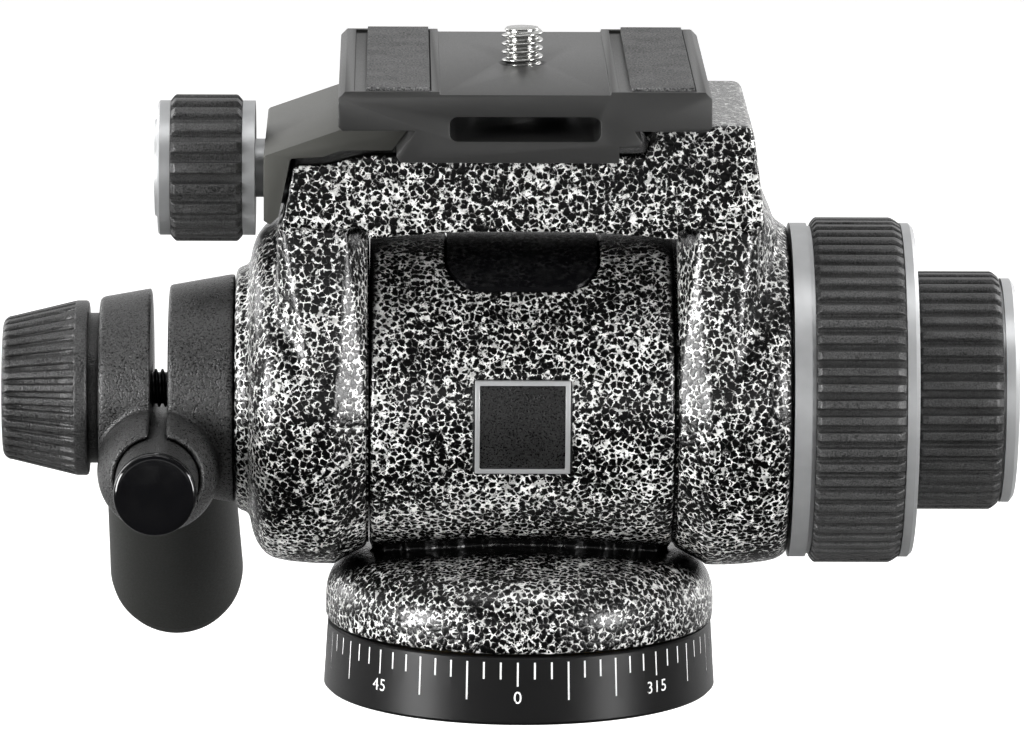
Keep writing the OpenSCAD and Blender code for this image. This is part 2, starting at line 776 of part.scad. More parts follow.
// Retaining ring in its groove, open at the bottom
module retaining_ring(x0, shaft_r) {
    outer = shaft_r + clip_reach;
    color("#77797b") difference() {
        x_tube(x0 + fit / 2, x0 + clip_t - fit / 2, outer, shaft_r - groove_deep + fit);
        translate([x0 - 1, -1.2, axis_z - outer - 1]) cube([clip_t + 2, 2.4, outer + 1]);
    }
}

module wheel_retaining_ring() { retaining_ring(wheel_clip_x, axle_end_r); }

module knob_retaining_ring() { retaining_ring(knob_clip_x, stub_r); }

module pan_push_rod() {
    color("#c2c4c6") x_turned([[0, rod_tip_x], [rod_r, rod_tip_x + rod_r], [rod_r, rod_end_x], [0, rod_end_x]]);
}

// The pin's top slopes at 45 degrees along the push rod's point
module pan_brake_pin() {
    color("#b5a36a") difference() {
        union() {
            translate([0, 0, pin_z]) cylinder(h = pin_pad_t, r = pin_pad_r);
            translate([0, 0, pin_z]) cylinder(h = axis_z - pin_z - air, r = pin_r);
        }
        translate([rod_tip_x, 0, axis_z - fit]) rotate([0, 45, 0])
            translate([-pin_cut / 2, -pin_cut / 2, 0]) cube(pin_cut);
    }
}

module pressure_plate() {
    color("#9b9da0") difference() {
        union() {
            x_rod(plate_x, plate_x + pressure_t, brake_bore_r - 0.7);
            x_rod(plate_x, sleeve_end_x, sleeve_r);
        }
        x_rod(plate_x - 1, sleeve_end_x + 1, axle_r + fit);
        key_block(0, axle_r + 1.1, plate_x - 1, sleeve_end_x + 1, key_w + 2 * fit);
    }
}

module tilt_wheel_core() {
    rim_r = wheel_r - rib_deep - rubber_t;
    ring_r = wheel_r - 0.85;
    web = wheel_end_x - 4.3;
    sleeve_bore = sleeve_r + fit;
    sleeve_deep = sleeve_end_x + air;
    color("#7b7c7e") x_turned([
        [sleeve_bore, wheel_x], [sleeve_r + 3, wheel_x], [sleeve_r + 3, web], [brake_bore_r + 0.3, web],
        [brake_bore_r + 0.3, wheel_x], [ring_r, wheel_x], [ring_r, wheel_x + wheel_ring_in],
        [ring_r - 0.5, wheel_x + wheel_ring_in], [ring_r - 0.5, wheel_rubber_x - 0.1],
        [rim_r, wheel_rubber_x - 0.1], [rim_r, wheel_ring_x], [ring_r, wheel_ring_x],
        [ring_r, wheel_end_x - 0.6], [ring_r - 0.6, wheel_end_x], [axle_end_r + fit, wheel_end_x],
        [axle_end_r + fit, axle_step_x + seat_gap], [axle_r + fit, axle_step_x + seat_gap],
        [axle_r + fit, sleeve_deep], [sleeve_bore, sleeve_deep]
    ]);
}

module tilt_wheel_grip() {
    bore = wheel_r - rib_deep - rubber_t + fit;
    color("#202020") rubber_sleeve(wheel_rubber_x, wheel_w, wheel_r, wheel_ribs, bore, 0.9);
}

module pan_knob_core() {
    rim_r = knob_r - rib_deep - rubber_t;
    clip_room = axle_end_r + clip_reach + slide_gap;
    plug_r = stub_r + clip_reach + slide_gap;
    web = stub_x + seat_gap + 1.2;
    color("#7b7c7e") x_turned([
        [clip_room, knob_x], [rim_r, knob_x], [rim_r, knob_rubber_end], [rim_r - 2, knob_rubber_end],
        [rim_r - 2, web], [plug_r + 2.5, web], [plug_r + 2.5, knob_rubber_end], [plug_r, knob_rubber_end],
        [plug_r, hub_end_x], [stub_r + fit, hub_end_x], [stub_r + fit, stub_x + seat_gap],
        [clip_room, stub_x + seat_gap]
    ]);
}

module pan_knob_grip() {
    bore = knob_r - rib_deep - rubber_t + fit;
    color("#202020") rubber_sleeve(knob_x, knob_w, knob_r, knob_ribs, bore, 0.8);
}

module pan_knob_cap() {
    rim_r = knob_r - 1.1;
    plug_r = stub_r + clip_reach + slide_gap - fit;
    face = knob_rubber_end + 0.4;
    color("#b4b5b6") x_turned([
        [rod_r + fit, plug_x], [plug_r, plug_x], [plug_r, knob_rubber_end + fit],
        [rim_r - 1, knob_rubber_end + fit], [rim_r - 1, face], [rim_r, face],
        [rim_r, face + knob_cap_t - 0.6], [rim_r - 0.8, face + knob_cap_t],
        [rim_r / 2, face + knob_cap_t + 0.7], [0, face + knob_cap_t + 0.9],
        [0, rod_end_x + 0.3], [rod_r + fit, rod_end_x + 0.3]
    ]);
}

// Plan of a cheek's leg: a cove on each inner corner, outer corners round
module leg_plan(outer_x, corner) {
    back = concat([[arch_half, cheek_half - cove_deep], [arch_half + cove_w, cheek_half]],
        arc([outer_x - corner, cheek_half - corner], corner, 90, 0, 5));
    polygon(concat(back, [for (i = [len(back) - 1 : -1 : 0]) [back[i].x, -back[i].y]]));
}

// Leg with its round end, relieved on the inside to pass over the dome
module cheek_leg(top_w) {
    inside = [for (x = [arch_half : 1.2 : arch_half + 4.9]) [min(cheek_r, axis_z - dome_top(x) - dome_air), x]];
    end_x = arch_half + leg_low_w;
    hull() {
        x_turned(concat([[0, arch_half]], inside, [[cheek_r, end_x], [0, end_x]]), $fn = 48);
        translate([0, 0, leg_low_z]) linear_extrude(height = ledge_z + 0.5 - leg_low_z)
            leg_plan(arch_half + top_w, 1.6);
    }
}

module bridge_outline() {
    corner = 0.9;
    foot_x = bridge_right + bridge_slant;
    lip_shift = lip_gap * 1.2;
    lip_slope = foot_reach / (flange_low - foot_low - 0.6);
    lip_top = neck_half + lip_shift + (flange_low - lip_z) * lip_slope;
    lip_low = foot_right + lip_shift;
    polygon([
        [-arch_half, arch_low_z - 0.01], [arch_half, arch_low_z - 0.01], [arch_half, ledge_z],
        [foot_x - corner, ledge_z], [foot_x, ledge_z + corner],
        [bridge_right, lip_z - corner], [bridge_right - corner, lip_z],
        [lip_top, lip_z], [lip_low, foot_low + 0.6], [lip_low + 1, foot_low - 0.8], [lip_low + 0.6, deck_z],
        [-deck_left_x, deck_z], [-fall_x, left_top_z + 0.2], [-bridge_left, left_top_z],
        [bridge_side(ledge_z + corner), ledge_z + corner], [bridge_side(ledge_z) + corner, ledge_z],
        [-arch_half, ledge_z]
    ]);
}

// Shallow arch over the drum
module arch_outline() {
    arch_r = (arch_half * arch_half + arch_sag * arch_sag) / (2 * arch_sag);
    intersection() {
        translate([-arch_half, 0]) square([2 * arch_half, bridge_z + 1]);
        translate([0, bridge_z - arch_r]) circle(r = arch_r, $fn = 360);
    }
}

module guide_pin_places() {
    for (y = [-guide_pin_y, guide_pin_y]) translate([0, y, 0]) children();
}

// Web that flares from the bridge's right end down to the brake housing
module bridge_web() {
    root_z = axis_z + cheek_r * 0.65;
    top_z = ledge_z + 6;
    hull() {
        xz_solid(-10, 10) polygon([[bridge_right, root_z], [bridge_right, top_z],
            [bridge_right + 2.2, top_z - 4], [housing_x - 2.1, axis_z + cheek_r - 0.8],
            [housing_x - 2.1, root_z]]);
        xz_solid(-19, 19) polygon([[bridge_right - 1, root_z - 4], [bridge_right - 1, top_z - 3],
            [bridge_right + 1.6, ledge_z + 0.5], [bridge_right + 1.6, root_z - 4]]);
    }
}

module saddle() {
    leg_end_x = leg_low_w + arch_half;
    dome = [[0, leg_end_x - 3], [cheek_r, leg_end_x - 3], [cheek_r - 0.1, cheek_face - 11.9],
        [cheek_r - 0.4, cheek_face - 8.4], [cheek_r - 0.9, cheek_face - 5.9], [cheek_r - 1.7, cheek_face - 4.5],
        [cheek_r - 3.5, cheek_face - 3.2], [cheek_r - 5.5, cheek_face - 2.5], [boss_r, cheek_face - 2.1],
        [boss_r, cheek_face - 0.7], [boss_r - 0.7, cheek_face], [0, cheek_face]];
    housing = [[0, leg_end_x - 3], [cheek_r, leg_end_x - 3], [cheek_r, leg_end_x],
        [cheek_r - 0.2, leg_end_x + 3.5], [cheek_r - 0.5, housing_x - 3.5],
        [cheek_r - 0.9, housing_x - 1.7], [cheek_r - 1.5, housing_x - 0.6],
        [cheek_r - 2, housing_x], [0, housing_x]];
    seat_x = trunnion_flange_x - trunnion_flange_t;
    color("#5b5c5e") difference() {
        union() {
            xz_solid(-bridge_half, bridge_half) bridge_outline();
            cheek_leg(leg_right_w);
            mirror([1, 0, 0]) cheek_leg(leg_left_w);
            bridge_web();
            x_turned(housing);
            mirror([1, 0, 0]) x_turned(dome);
        }
        xz_solid(-bridge_half - 1, bridge_half + 1) arch_outline();
        x_rod(cheek_floor_x, housing_x + 1, brake_bore_r);
        x_rod(arch_half - 1, cheek_floor_x + 1, axle_r + bush_wall + 2 * fit);
        x_rod(-cheek_face - 1, -seat_x, trunnion_flange_r + fit);
        x_rod(-cheek_face, 1 - arch_half, trunnion_body_r + fit);
        round_x(4, trunnion_screw_ring, -seat_x - 1)
            cylinder(h = 2 * trunnion_flange_t, r = trunnion_screw_r + fit);
        x_rod(-jaw_out, -screw_end_x + 1, clamp_screw_r + fit, screw_z);
        guide_pin_places() x_rod(-jaw_out, 1 - guide_pin_end, guide_pin_r + fit, guide_pin_z);
        guide_pin_places() x_rod(-jaw_out, -spring_end, spring_r + play, guide_pin_z);
        for (y = [-bridge_half, bridge_half])
            xz_solid(y - 1.5, y + 1.5) polygon([[neck_half, lip_z + 1], [foot_right + 1.6, lip_z + 1],
                [foot_right + 1.1, foot_low + 0.6], [neck_half, foot_low]]);
    }
}

module tilt_trunnion() {
    color("#a9abad") difference() {
        union() {
            x_rod(-trunnion_flange_x, trunnion_flange_t - trunnion_flange_x, trunnion_flange_r);
            x_rod(-trunnion_flange_x, -arch_half - 0.5, trunnion_body_r);
            x_rod(-trunnion_flange_x, -web_x - rotor_t - air, trunnion_r);
        }
        x_rod(-trunnion_flange_x - 1, -arch_half - 4, stud_r + fit);
        round_x(4, trunnion_screw_ring, -trunnion_flange_x - 1)
            cylinder(h = trunnion_flange_t + 2, r = trunnion_screw_r + fit);
        round_x(4, trunnion_screw_ring, -trunnion_flange_x - 1) cylinder(h = 2.6, r = 2);
    }
}

module trunnion_screws() {
    color("#8d8f91") round_x(4, trunnion_screw_ring, -trunnion_flange_x + 0.1) union() {
        cylinder(h = 1.5, r = 2 - fit);
        cylinder(h = trunnion_flange_t + 7, r = trunnion_screw_r);
    }
}

module tilt_bush_right() {
    color("#a58a4c") x_tube(arch_half, cheek_floor_x, axle_r + fit + bush_wall, axle_r + fit);
}

module brake_lining() {
    color("#4a4038") x_tube(cheek_floor_x, cheek_floor_x + lining_t, brake_bore_r - 0.5, axle_r + bush_wall + 2);
}

module jaw_springs() {
    color("#8d8f91") guide_pin_places()
        x_tube(bridge_side(guide_pin_z) + 0.3, -spring_end, spring_r, guide_pin_r + 0.4, guide_pin_z);
}

module clamp_jaw() {
    hook_slope = flare_left / (flange_low - plate_z - 1);
    hook_shift = 0.2;
    hook_top = -neck_half - hook_shift - (flange_low - jaw_top_z) * hook_slope;
    hook_low = -neck_half - hook_shift - (flange_low - jaw_low_z) * hook_slope;
    inner_top = deck_z - 1;
    tip_z = ledge_z + 0.6;
    color("#6a6b68") difference() {
        xz_solid(-jaw_half, jaw_half) polygon([
            [-jaw_out, tip_z + 0.6], [-jaw_out, jaw_top_z - 4.2], [-jaw_out + 0.3, jaw_top_z - 3.9],
            [1.8 - fall_x, jaw_top_z], [hook_top, jaw_top_z], [hook_low, jaw_low_z],
            [2.2 - fall_x, jaw_low_z], [-fall_x - jaw_gap, left_top_z + 1.4],
            [bridge_side(left_top_z) - 0.2, left_top_z + 1.1], [bridge_side(inner_top) - jaw_gap, inner_top],
            [bridge_side(tip_z + 1.2) - jaw_gap, tip_z + 1.2], [-jaw_out + 1, tip_z],
            [-jaw_out + 0.3, tip_z + 0.4]
        ]);
        x_rod(-jaw_out - 1, -bridge_left, clamp_screw_r + 0.3, screw_z);
        guide_pin_places() x_rod(-jaw_out + 0.8, -bridge_left, guide_pin_r + fit, guide_pin_z);
    }
}

module jaw_guide_pins() {
    color("#b9bbbd") guide_pin_places() x_rod(-jaw_out + 0.9, -guide_pin_end, guide_pin_r, guide_pin_z);
}

module clamp_knob_core() {
    core_r = clamp_knob_r - rib_deep - rubber_t;
    end = clamp_ring_out + clamp_ring_w;
    bore = clamp_screw_r + fit;
    color("#7b7c7e") x_turned([
        [bore, -collar_x], [bore, -clamp_ring_out], [0, -clamp_ring_out], [0, -end - 0.7],
        [clamp_ring_r - 3, -end - 0.5], [clamp_ring_r - 2.6, -end], [clamp_ring_r - 0.3, -end],
        [clamp_ring_r, -end + 0.3], [clamp_ring_r, -clamp_ring_out], [core_r, -clamp_ring_out],
        [core_r, -clamp_rubber_x], [clamp_ring_r, -clamp_rubber_x], [clamp_ring_r, -clamp_ring_in],
        [clamp_screw_r + 1.5, -clamp_ring_in], [clamp_screw_r + 1.5, -collar_x]
    ], screw_z);
}

module clamp_knob_grip() {
    bore = clamp_knob_r - rib_deep - rubber_t + fit;
    color("#202020") rubber_sleeve(-clamp_ring_out + fit, clamp_knob_w - 2 * fit, clamp_knob_r, clamp_ribs,
        bore, 0.7, screw_z);
}

module clamp_screw() {
    color("#b9bbbd") x_rod(-clamp_ring_out + 0.2, -screw_end_x, clamp_screw_r, screw_z);
}

module plate_outline() {
    half = plate_w / 2;
    difference() {
        polygon([
            [0.7 - foot_left, plate_z], [-foot_left, plate_z + 1], [-neck_half, flange_low],
            [0.6 - half, flange_low], [-half, flange_low + 0.6], [-half, plate_top - 1], [1 - half, plate_top],
            [-channel_half, plate_top], [-channel_half, channel_z], [channel_half, channel_z],
            [channel_half, plate_top], [half - 1, plate_top], [half, plate_top - 1],
            [half, flange_low + 0.6], [half - 0.6, flange_low], [neck_half, flange_low],
            [foot_right, foot_low + 0.6], [foot_right - 0.5, foot_low], [foot_step, foot_low],
            [foot_step, plate_z]
        ]);
        round_rect(-slot_half_w, slot_z, 2 * slot_half_w, slot_h, 1.2);
    }
}

module pad_recess(side) {
    translate([side * pad_place - pad_recess_w / 2, -plate_l / 2 + 1.2, plate_top - pad_recess_deep])
        cube([pad_recess_w, plate_l - 2.4, pad_recess_deep + 1]);
}

module quick_plate() {
    color("#454545") difference() {
        xz_solid(-plate_l / 2, plate_l / 2) plate_outline();
        for (side = [-1, 1]) pad_recess(side);
        translate([0, 0, plate_z - 1]) cylinder(h = slot_z - plate_z + 1.5, r = camera_head_r + 0.5);
        translate([0, 0, slot_z + 1]) cylinder(h = plate_top, r = camera_shank_r + slide_gap);
        translate([0, 0, channel_z - 0.9]) cylinder(h = 2, r1 = camera_shank_r + slide_gap, r2 = camera_r + 1.8);
    }
}

module plate_pads() {
    color("#3c3c3c") for (side = [-1, 1])
        translate([side * pad_place + pad_recess_w / 2 - pad_w - play, -plate_l / 2 + 1.4,
            plate_top - pad_recess_deep]) cube([pad_w, plate_l - 2.8, pad_h]);
}

module camera_screw() {
    head_z = slot_z + slide_gap;
    top_z = channel_z + camera_len;
    color("#c8c8c6") difference() {
        union() {
            translate([0, 0, head_z]) cylinder(h = camera_head_t, r = camera_head_r);
            translate([0, 0, head_z]) cylinder(h = top_z - head_z - 1, r = camera_shank_r);
            translate([0, 0, channel_z + 0.15]) cylinder(h = camera_len - 0.75, r = camera_r);
            translate([0, 0, top_z - 0.6]) cylinder(h = 0.6, r1 = camera_r, r2 = camera_r - 0.6);
        }
        translate([-camera_head_r - 1, -0.8, head_z - 1]) cube([2 * camera_head_r + 2, 1.6, 2.4]);
    }
}

module handle_clamp() {
    nose = [for (t = [0 : 0.2 : 1])
        [nose_r + (bar_boss_r - nose_r) * sin(90 * t), bar_boss_half + bar_nose * (1 - t)]];
    front = [for (p = nose) [p.x, -p.y]];
    back = [for (i = [len(nose) - 1 : -1 : 0]) nose[i]];
    end_y = bar_boss_half + bar_nose;
    color("#1f1f1f") difference() {
        union() {
            x_turned([[0, -clamp_x], [clamp_big_r, -clamp_x], [clamp_big_r, -clamp_x - 0.6],
                [clamp_small_r + 0.1, -clamp_end + 0.5], [clamp_small_r - 0.4, -clamp_end], [0, -clamp_end]]);
            bar_turned(concat([[0, -end_y]], front, back, [[0, end_y]]));
        }
        bar_turned([[0, -end_y - 1], [bar_r + fit, -end_y - 1], [bar_r + fit, end_y + 1], [0, end_y + 1]]);
        translate([-slot_far_x, -end_y - 1, bar_z]) cube([clamp_slot, 2 * end_y + 2, clamp_big_r + bar_drop + 1]);
        x_rod(-clamp_end - 1, -clamp_x + 1, stud_r + 0.3);
    }
}

module knob_washer() {
    color("#2a2a2a") x_tube(-washer_x - washer_w, -washer_x, washer_r, stud_r + 0.3);
}

// Fluted cone with a plain band at its wide end and a rounded narrow end
module cone_knob() {
    band = 2.2;
    round_end = 1.2;
    flute_deep = 0.5;
    flute_w = PI * cone_end_r / cone_flutes;
    slope = atan((cone_r - cone_end_r) / (cone_len - band - round_end));
    color("#1c1c1c") difference() {
        x_turned([[0, -cone_x], [cone_r, -cone_x], [cone_r, -cone_x - band],
            [cone_end_r, -cone_end + round_end], [cone_end_r - 0.2, -cone_end + 0.5],
            [cone_end_r - 0.8, -cone_end], [0, -cone_end]]);
        for (i = [0 : cone_flutes - 1])
            translate([0, 0, axis_z]) rotate([360 / cone_flutes * i, 0, 0])
                translate([-cone_x - band, 0, cone_r]) rotate([0, -slope, 0])
                    translate([-cone_len, -flute_w / 2, -flute_deep]) cube([cone_len, flute_w, 2]);
        x_rod(-cone_end + 2, -cone_x + 1, stud_r + fit);
    }
}

module clamp_stud() {
    color("#b9bbbd") x_rod(-cone_end + 2.2, -arch_half - 6, stud_r);
}

module past_bend() {
    translate([-bar_x, bend_end_y, bend_end_z]) rotate([-90 - bar_bend, 0, 0]) children();
}

// Front stub, bend and long leg; the leg is turned down by a hair, and both ends are drilled
module handle_bar() {
    front_y = bar_cap_t - bar_front_y;
    long_end = grip_start + grip_len - 4;
    reach = 2 * (bar_bend_r + bar_r);
    drill_r = bar_r - bar_wall;
    leg_r = bar_r - 0.02;
    color("#232323") difference() {
        union() {
            bar_turned([[0, front_y], [bar_r, front_y], [bar_r, bar_back_y], [0, bar_back_y]]);
            translate([-bar_x, bar_back_y, bar_z - bar_bend_r]) rotate([0, -90, 0]) intersection() {
                rotate_extrude() translate([bar_bend_r, 0]) circle(r = bar_r);
                translate([0, 0, -reach]) linear_extrude(height = 2 * reach) polygon([[0, 0], [reach, 0],
                    reach * [1, tan(bar_bend / 2)], reach * [cos(bar_bend), sin(bar_bend)]]);
            }
            past_bend() cylinder(h = long_end, r = leg_r);
            past_bend() translate([0, 0, -bar_r / 3]) cylinder(h = 1.6 * bar_r, r = drill_r + 1);
        }
        bar_turned([[0, front_y - 1], [drill_r, front_y - 1], [drill_r, bar_back_y - 4], [0, bar_back_y - 4]]);
        past_bend() translate([0, 0, 4]) cylinder(h = long_end, r = drill_r);
    }
}

module bar_end_cap() {
    seat = bar_cap_t - bar_front_y;
    plug_r = bar_r - bar_wall - fit;
    color("#101010") bar_turned([[0, -bar_front_y], [bar_r - 0.5, -bar_front_y], [bar_r, 0.5 - bar_front_y],
        [bar_r, seat], [plug_r, seat], [plug_r, seat + 5], [0, seat + 5]]);
}

module handle_grip() {
    tip = [for (a = [90 : -10 : 0]) [grip_r * sin(a), grip_start + grip_len + grip_r * cos(a)]];
    color("#242521") past_bend() difference() {
        rotate_extrude() polygon(concat([[0, grip_start], [grip_neck_r - 0.6, grip_start],
            [grip_neck_r, grip_start + 0.8]], tip));
        translate([0, 0, grip_start - 1]) cylinder(h = grip_len - 2, r = bar_r + fit);
    }
}

base_ring();
tripod_bush();
base_screws();
pan_spindle();
pan_damper_cup();
pan_thrust_washer();
pan_spring_washer();
pan_nut();
pan_body();
pan_damper_rotor();
pan_bush();
drum_cover();
badge_frame();
badge_panel();
drum_end_cap();
tilt_bush_left();
tilt_damper_cup();
tilt_axle();
axle_screws();
brake_key();
brake_pin_guide();
wheel_retaining_ring();
knob_retaining_ring();
pan_brake_pin();
pan_push_rod();
pressure_plate();
tilt_wheel_core();
tilt_wheel_grip();
pan_knob_core();
pan_knob_grip();
pan_knob_cap();
saddle();
tilt_trunnion();
trunnion_screws();
tilt_damper_rotor();
tilt_bush_right();
brake_lining();
jaw_springs();
clamp_jaw();
jaw_guide_pins();
clamp_knob_core();
clamp_knob_grip();
clamp_screw();
quick_plate();
plate_pads();
camera_screw();
handle_clamp();
knob_washer();
cone_knob();
clamp_stud();
handle_bar();
bar_end_cap();
handle_grip();
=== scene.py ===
import math

import bmesh
import bpy
from mathutils import Matrix, Vector


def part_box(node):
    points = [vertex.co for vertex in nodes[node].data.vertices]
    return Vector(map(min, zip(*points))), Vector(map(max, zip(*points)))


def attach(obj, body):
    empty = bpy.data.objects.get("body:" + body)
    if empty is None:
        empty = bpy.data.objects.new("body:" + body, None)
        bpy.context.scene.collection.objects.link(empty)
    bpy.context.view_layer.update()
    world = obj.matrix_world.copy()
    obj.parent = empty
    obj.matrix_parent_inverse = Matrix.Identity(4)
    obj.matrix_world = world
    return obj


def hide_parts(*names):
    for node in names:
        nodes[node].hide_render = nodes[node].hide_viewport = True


# Fluid video head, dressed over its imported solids. Metres, Z up, the badge faces -Y.

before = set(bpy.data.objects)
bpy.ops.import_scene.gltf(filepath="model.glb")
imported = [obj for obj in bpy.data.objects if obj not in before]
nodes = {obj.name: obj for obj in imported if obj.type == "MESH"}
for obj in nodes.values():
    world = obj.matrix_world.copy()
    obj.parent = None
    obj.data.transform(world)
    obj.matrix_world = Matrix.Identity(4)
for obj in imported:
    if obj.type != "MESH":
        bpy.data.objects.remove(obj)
scene = bpy.context.scene
scene.view_settings.view_transform = "Standard"
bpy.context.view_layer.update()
mm = 0.001
print("frame loaded:", len(nodes), "nodes")

# The camera was fitted to the round rims and the plate's edges in the photograph
view = {
    "lens": 297.8, "sensor": 36.0, "distance": 1.3083, "target": (-0.00131, 0.0, 0.04858),
    "ahead": (0.01408, 0.98344, -0.18069), "right": (0.99990, -0.01336, 0.00515),
    "up": (-0.00265, 0.18074, 0.98352),
}


def placeCamera():
    data = bpy.data.cameras.new("studioCamera")
    data.sensor_width = view["sensor"]
    data.lens = view["lens"]
    data.clip_end = 20    # metres, past the far edge of the floor
    camera = bpy.data.objects.new("studioCamera", data)
    ahead, right, up = (Vector(view[key]).normalized() for key in ("ahead", "right", "up"))
    place = Vector(view["target"]) - ahead * view["distance"]
    turn = Matrix((right, up, -ahead)).transposed().to_4x4()
    camera.matrix_world = Matrix.Translation(place) @ turn
    scene.collection.objects.link(camera)
    scene.camera = camera


placeCamera()


# A hex colour, turned from sRGB to linear
def linear(hexColour):
    parts = [int(hexColour[i:i + 2], 16) / 255 for i in (1, 3, 5)]
    return tuple(p / 12.92 if p <= 0.04045 else ((p + 0.055) / 1.055) ** 2.4 for p in parts) + (1.0,)


# One node with its settings and links; "stops" are the places and colours of a colour ramp
def addNode(tree, kind, settings={}, links={}):
    node = tree.nodes.new("ShaderNode" + kind)
    for key, value in settings.items():
        if key == "stops":
            ramp = node.color_ramp
            while len(ramp.elements) < len(value):
                ramp.elements.new(0.5)
            for element, (place, colour) in zip(ramp.elements, value):
                element.position = place
                element.color = linear(colour)
        elif isinstance(key, int) or key in node.inputs:
            node.inputs[key].default_value = value
        else:
            setattr(node, key, value)
    for key, socket in links.items():
        tree.links.new(socket, node.inputs[key])
    return node


# A material with its shader set, and the place on the object in millimetres
def startMaterial(name, colour, settings):
    material = bpy.data.materials.new(name)
    material.use_nodes = True
    tree = material.node_tree
    shader = tree.nodes["Principled BSDF"]
    shader.inputs["Base Color"].default_value = linear(colour)
    for key, value in settings.items():
        shader.inputs[key].default_value = value
    place = addNode(tree, "TexCoord")
    inMm = addNode(tree, "VectorMath", {"operation": "SCALE", "Scale": 1 / mm}, {0: place.outputs["Object"]})
    return material, tree, shader, inMm.outputs[0]


# Fine relief in the shading, as deep as the real one
def bumpInto(tree, shader, height, depthMm):
    bump = addNode(tree, "Bump", {"Strength": 1.0, "Distance": depthMm * mm}, {"Height": height})
    tree.links.new(bump.outputs[0], shader.inputs["Normal"])


hammered = {
    # The beads, and the net of strands between them. Scales are in waves per millimetre
    "beadMm": 1.0, "beadHeightMm": 0.05, "raggedMm": 0.15, "raggedScale": 3.1, "softMm": 0.065,
    "strandMm": 0.065, "strandSwingMm": 0.55, "strandScale": 1.1, "patchScale": 0.12, "patchSwingMm": 0.2,
    # Painted shade in the corners: where ambient occlusion within the reach finds the casting shut in, only
    # the given share of the silver is kept; at the upper mark and above it is all kept
    "shadeReachMm": 4.5, "cornerShadeFrom": 0.36, "cornerShadeTo": 0.80, "cornerShadeShare": 0.06,
    "black": "#030303", "grey": "#4c4c4c", "dim": "#a8a8a6", "silver": "#f2f2f0", "tarnishScale": 0.7,
    "coat": 0.2, "coatRoughness": 0.12, "ior": 1.4,
    "blackRoughness": 0.22, "silverRoughness": 0.42, "silverMetallic": 0.3,
}


# Hammered lacquer, put on by spray: glossy black beads that crowd together over a net of silver
def makeHammered():
    f = hammered
    material, tree, shader, place = startMaterial("hammeredLacquer", f["black"], {
        "Coat Weight": f["coat"], "Coat Roughness": f["coatRoughness"], "IOR": f["ior"]})
    ragged = addNode(tree, "TexNoise", {"Scale": f["raggedScale"], "Detail": 2.0}, {"Vector": place})
    centred = addNode(tree, "VectorMath", {"operation": "SUBTRACT", 1: (0.5, 0.5, 0.5)},
                      {0: ragged.outputs["Color"]})
    pushed = addNode(tree, "VectorMath", {"operation": "SCALE", "Scale": 4 * f["raggedMm"]},
                     {0: centred.outputs[0]})
    bent = addNode(tree, "VectorMath", {"operation": "ADD"}, {0: place, 1: pushed.outputs[0]})
    beads = addNode(tree, "TexVoronoi", {"feature": "DISTANCE_TO_EDGE", "Scale": 1 / f["beadMm"]},
                    {"Vector": bent.outputs[0]})
    # How far the net is, in mm, and how wide its strands are here
    inMm = addNode(tree, "Math", {"operation": "MULTIPLY", 1: f["beadMm"]}, {0: beads.outputs["Distance"]})
    swing = addNode(tree, "TexNoise", {"Scale": f["strandScale"], "Detail": 2.0}, {"Vector": place})
    width = addNode(tree, "MapRange", {"clamp": False, 1: 0.5, 2: 1.0, 3: f["strandMm"],
                                       4: f["strandMm"] + f["strandSwingMm"] / 2}, {0: swing.outputs["Fac"]})
    patches = addNode(tree, "TexNoise", {"Scale": f["patchScale"], "Detail": 1.0}, {"Vector": place})
    wider = addNode(tree, "MapRange", {"clamp": False, 1: 0.5, 2: 1.0, 3: 0.0, 4: f["patchSwingMm"] / 2},
                    {0: patches.outputs["Fac"]})
    reach = addNode(tree, "Math", {"operation": "ADD"}, {0: width.outputs[0], 1: wider.outputs[0]})
    level = addNode(tree, "Math", {"operation": "SUBTRACT"}, {0: reach.outputs[0], 1: inMm.outputs[0]})
    strand = addNode(tree, "MapRange", {1: -f["softMm"], 2: f["softMm"]}, {0: level.outputs[0]})
    # Painted shade: ambient occlusion takes the silver out of the casting's corners, so they render black
    openness = addNode(tree, "AmbientOcclusion", {"samples": 8, "Distance": f["shadeReachMm"] * mm})
    unshadedShare = addNode(tree, "MapRange", {"interpolation_type": "SMOOTHSTEP", 1: f["cornerShadeFrom"],
                                         2: f["cornerShadeTo"], 3: f["cornerShadeShare"]}, {0: openness.outputs["AO"]})
    share = addNode(tree, "Math", {"operation": "MULTIPLY"}, {0: strand.outputs[0], 1: unshadedShare.outputs[0]})
    tarnish = addNode(tree, "TexNoise", {"Scale": f["tarnishScale"], "Detail": 2.0}, {"Vector": place})
    flake = addNode(tree, "ValToRGB", {"stops": [(0.35, f["dim"]), (0.6, f["silver"])]},
                    {0: tarnish.outputs["Fac"]})
    shade = addNode(tree, "ValToRGB", {"stops": [(0.15, f["black"]), (0.5, f["grey"]), (0.9, "#ffffff")]},
                    {0: share.outputs[0]})
    colour = addNode(tree, "Mix", {"data_type": "RGBA", "blend_type": "MULTIPLY", 0: 1.0},
                     {6: shade.outputs[0], 7: flake.outputs[0]})
    tree.links.new(colour.outputs[2], shader.inputs["Base Color"])
    shine = addNode(tree, "MapRange", {3: f["blackRoughness"], 4: f["silverRoughness"]},
                    {0: share.outputs[0]})
    tree.links.new(shine.outputs[0], shader.inputs["Roughness"])
    metal = addNode(tree, "MapRange", {3: 0.0, 4: f["silverMetallic"]}, {0: share.outputs[0]})
    tree.links.new(metal.outputs[0], shader.inputs["Metallic"])
    dome = addNode(tree, "MapRange", {"interpolation_type": "SMOOTHSTEP", 1: -0.35, 2: 0.1, 3: 1.0, 4: 0.0},
                   {0: level.outputs[0]})
    bumpInto(tree, shader, dome.outputs[0], f["beadHeightMm"])
    return material


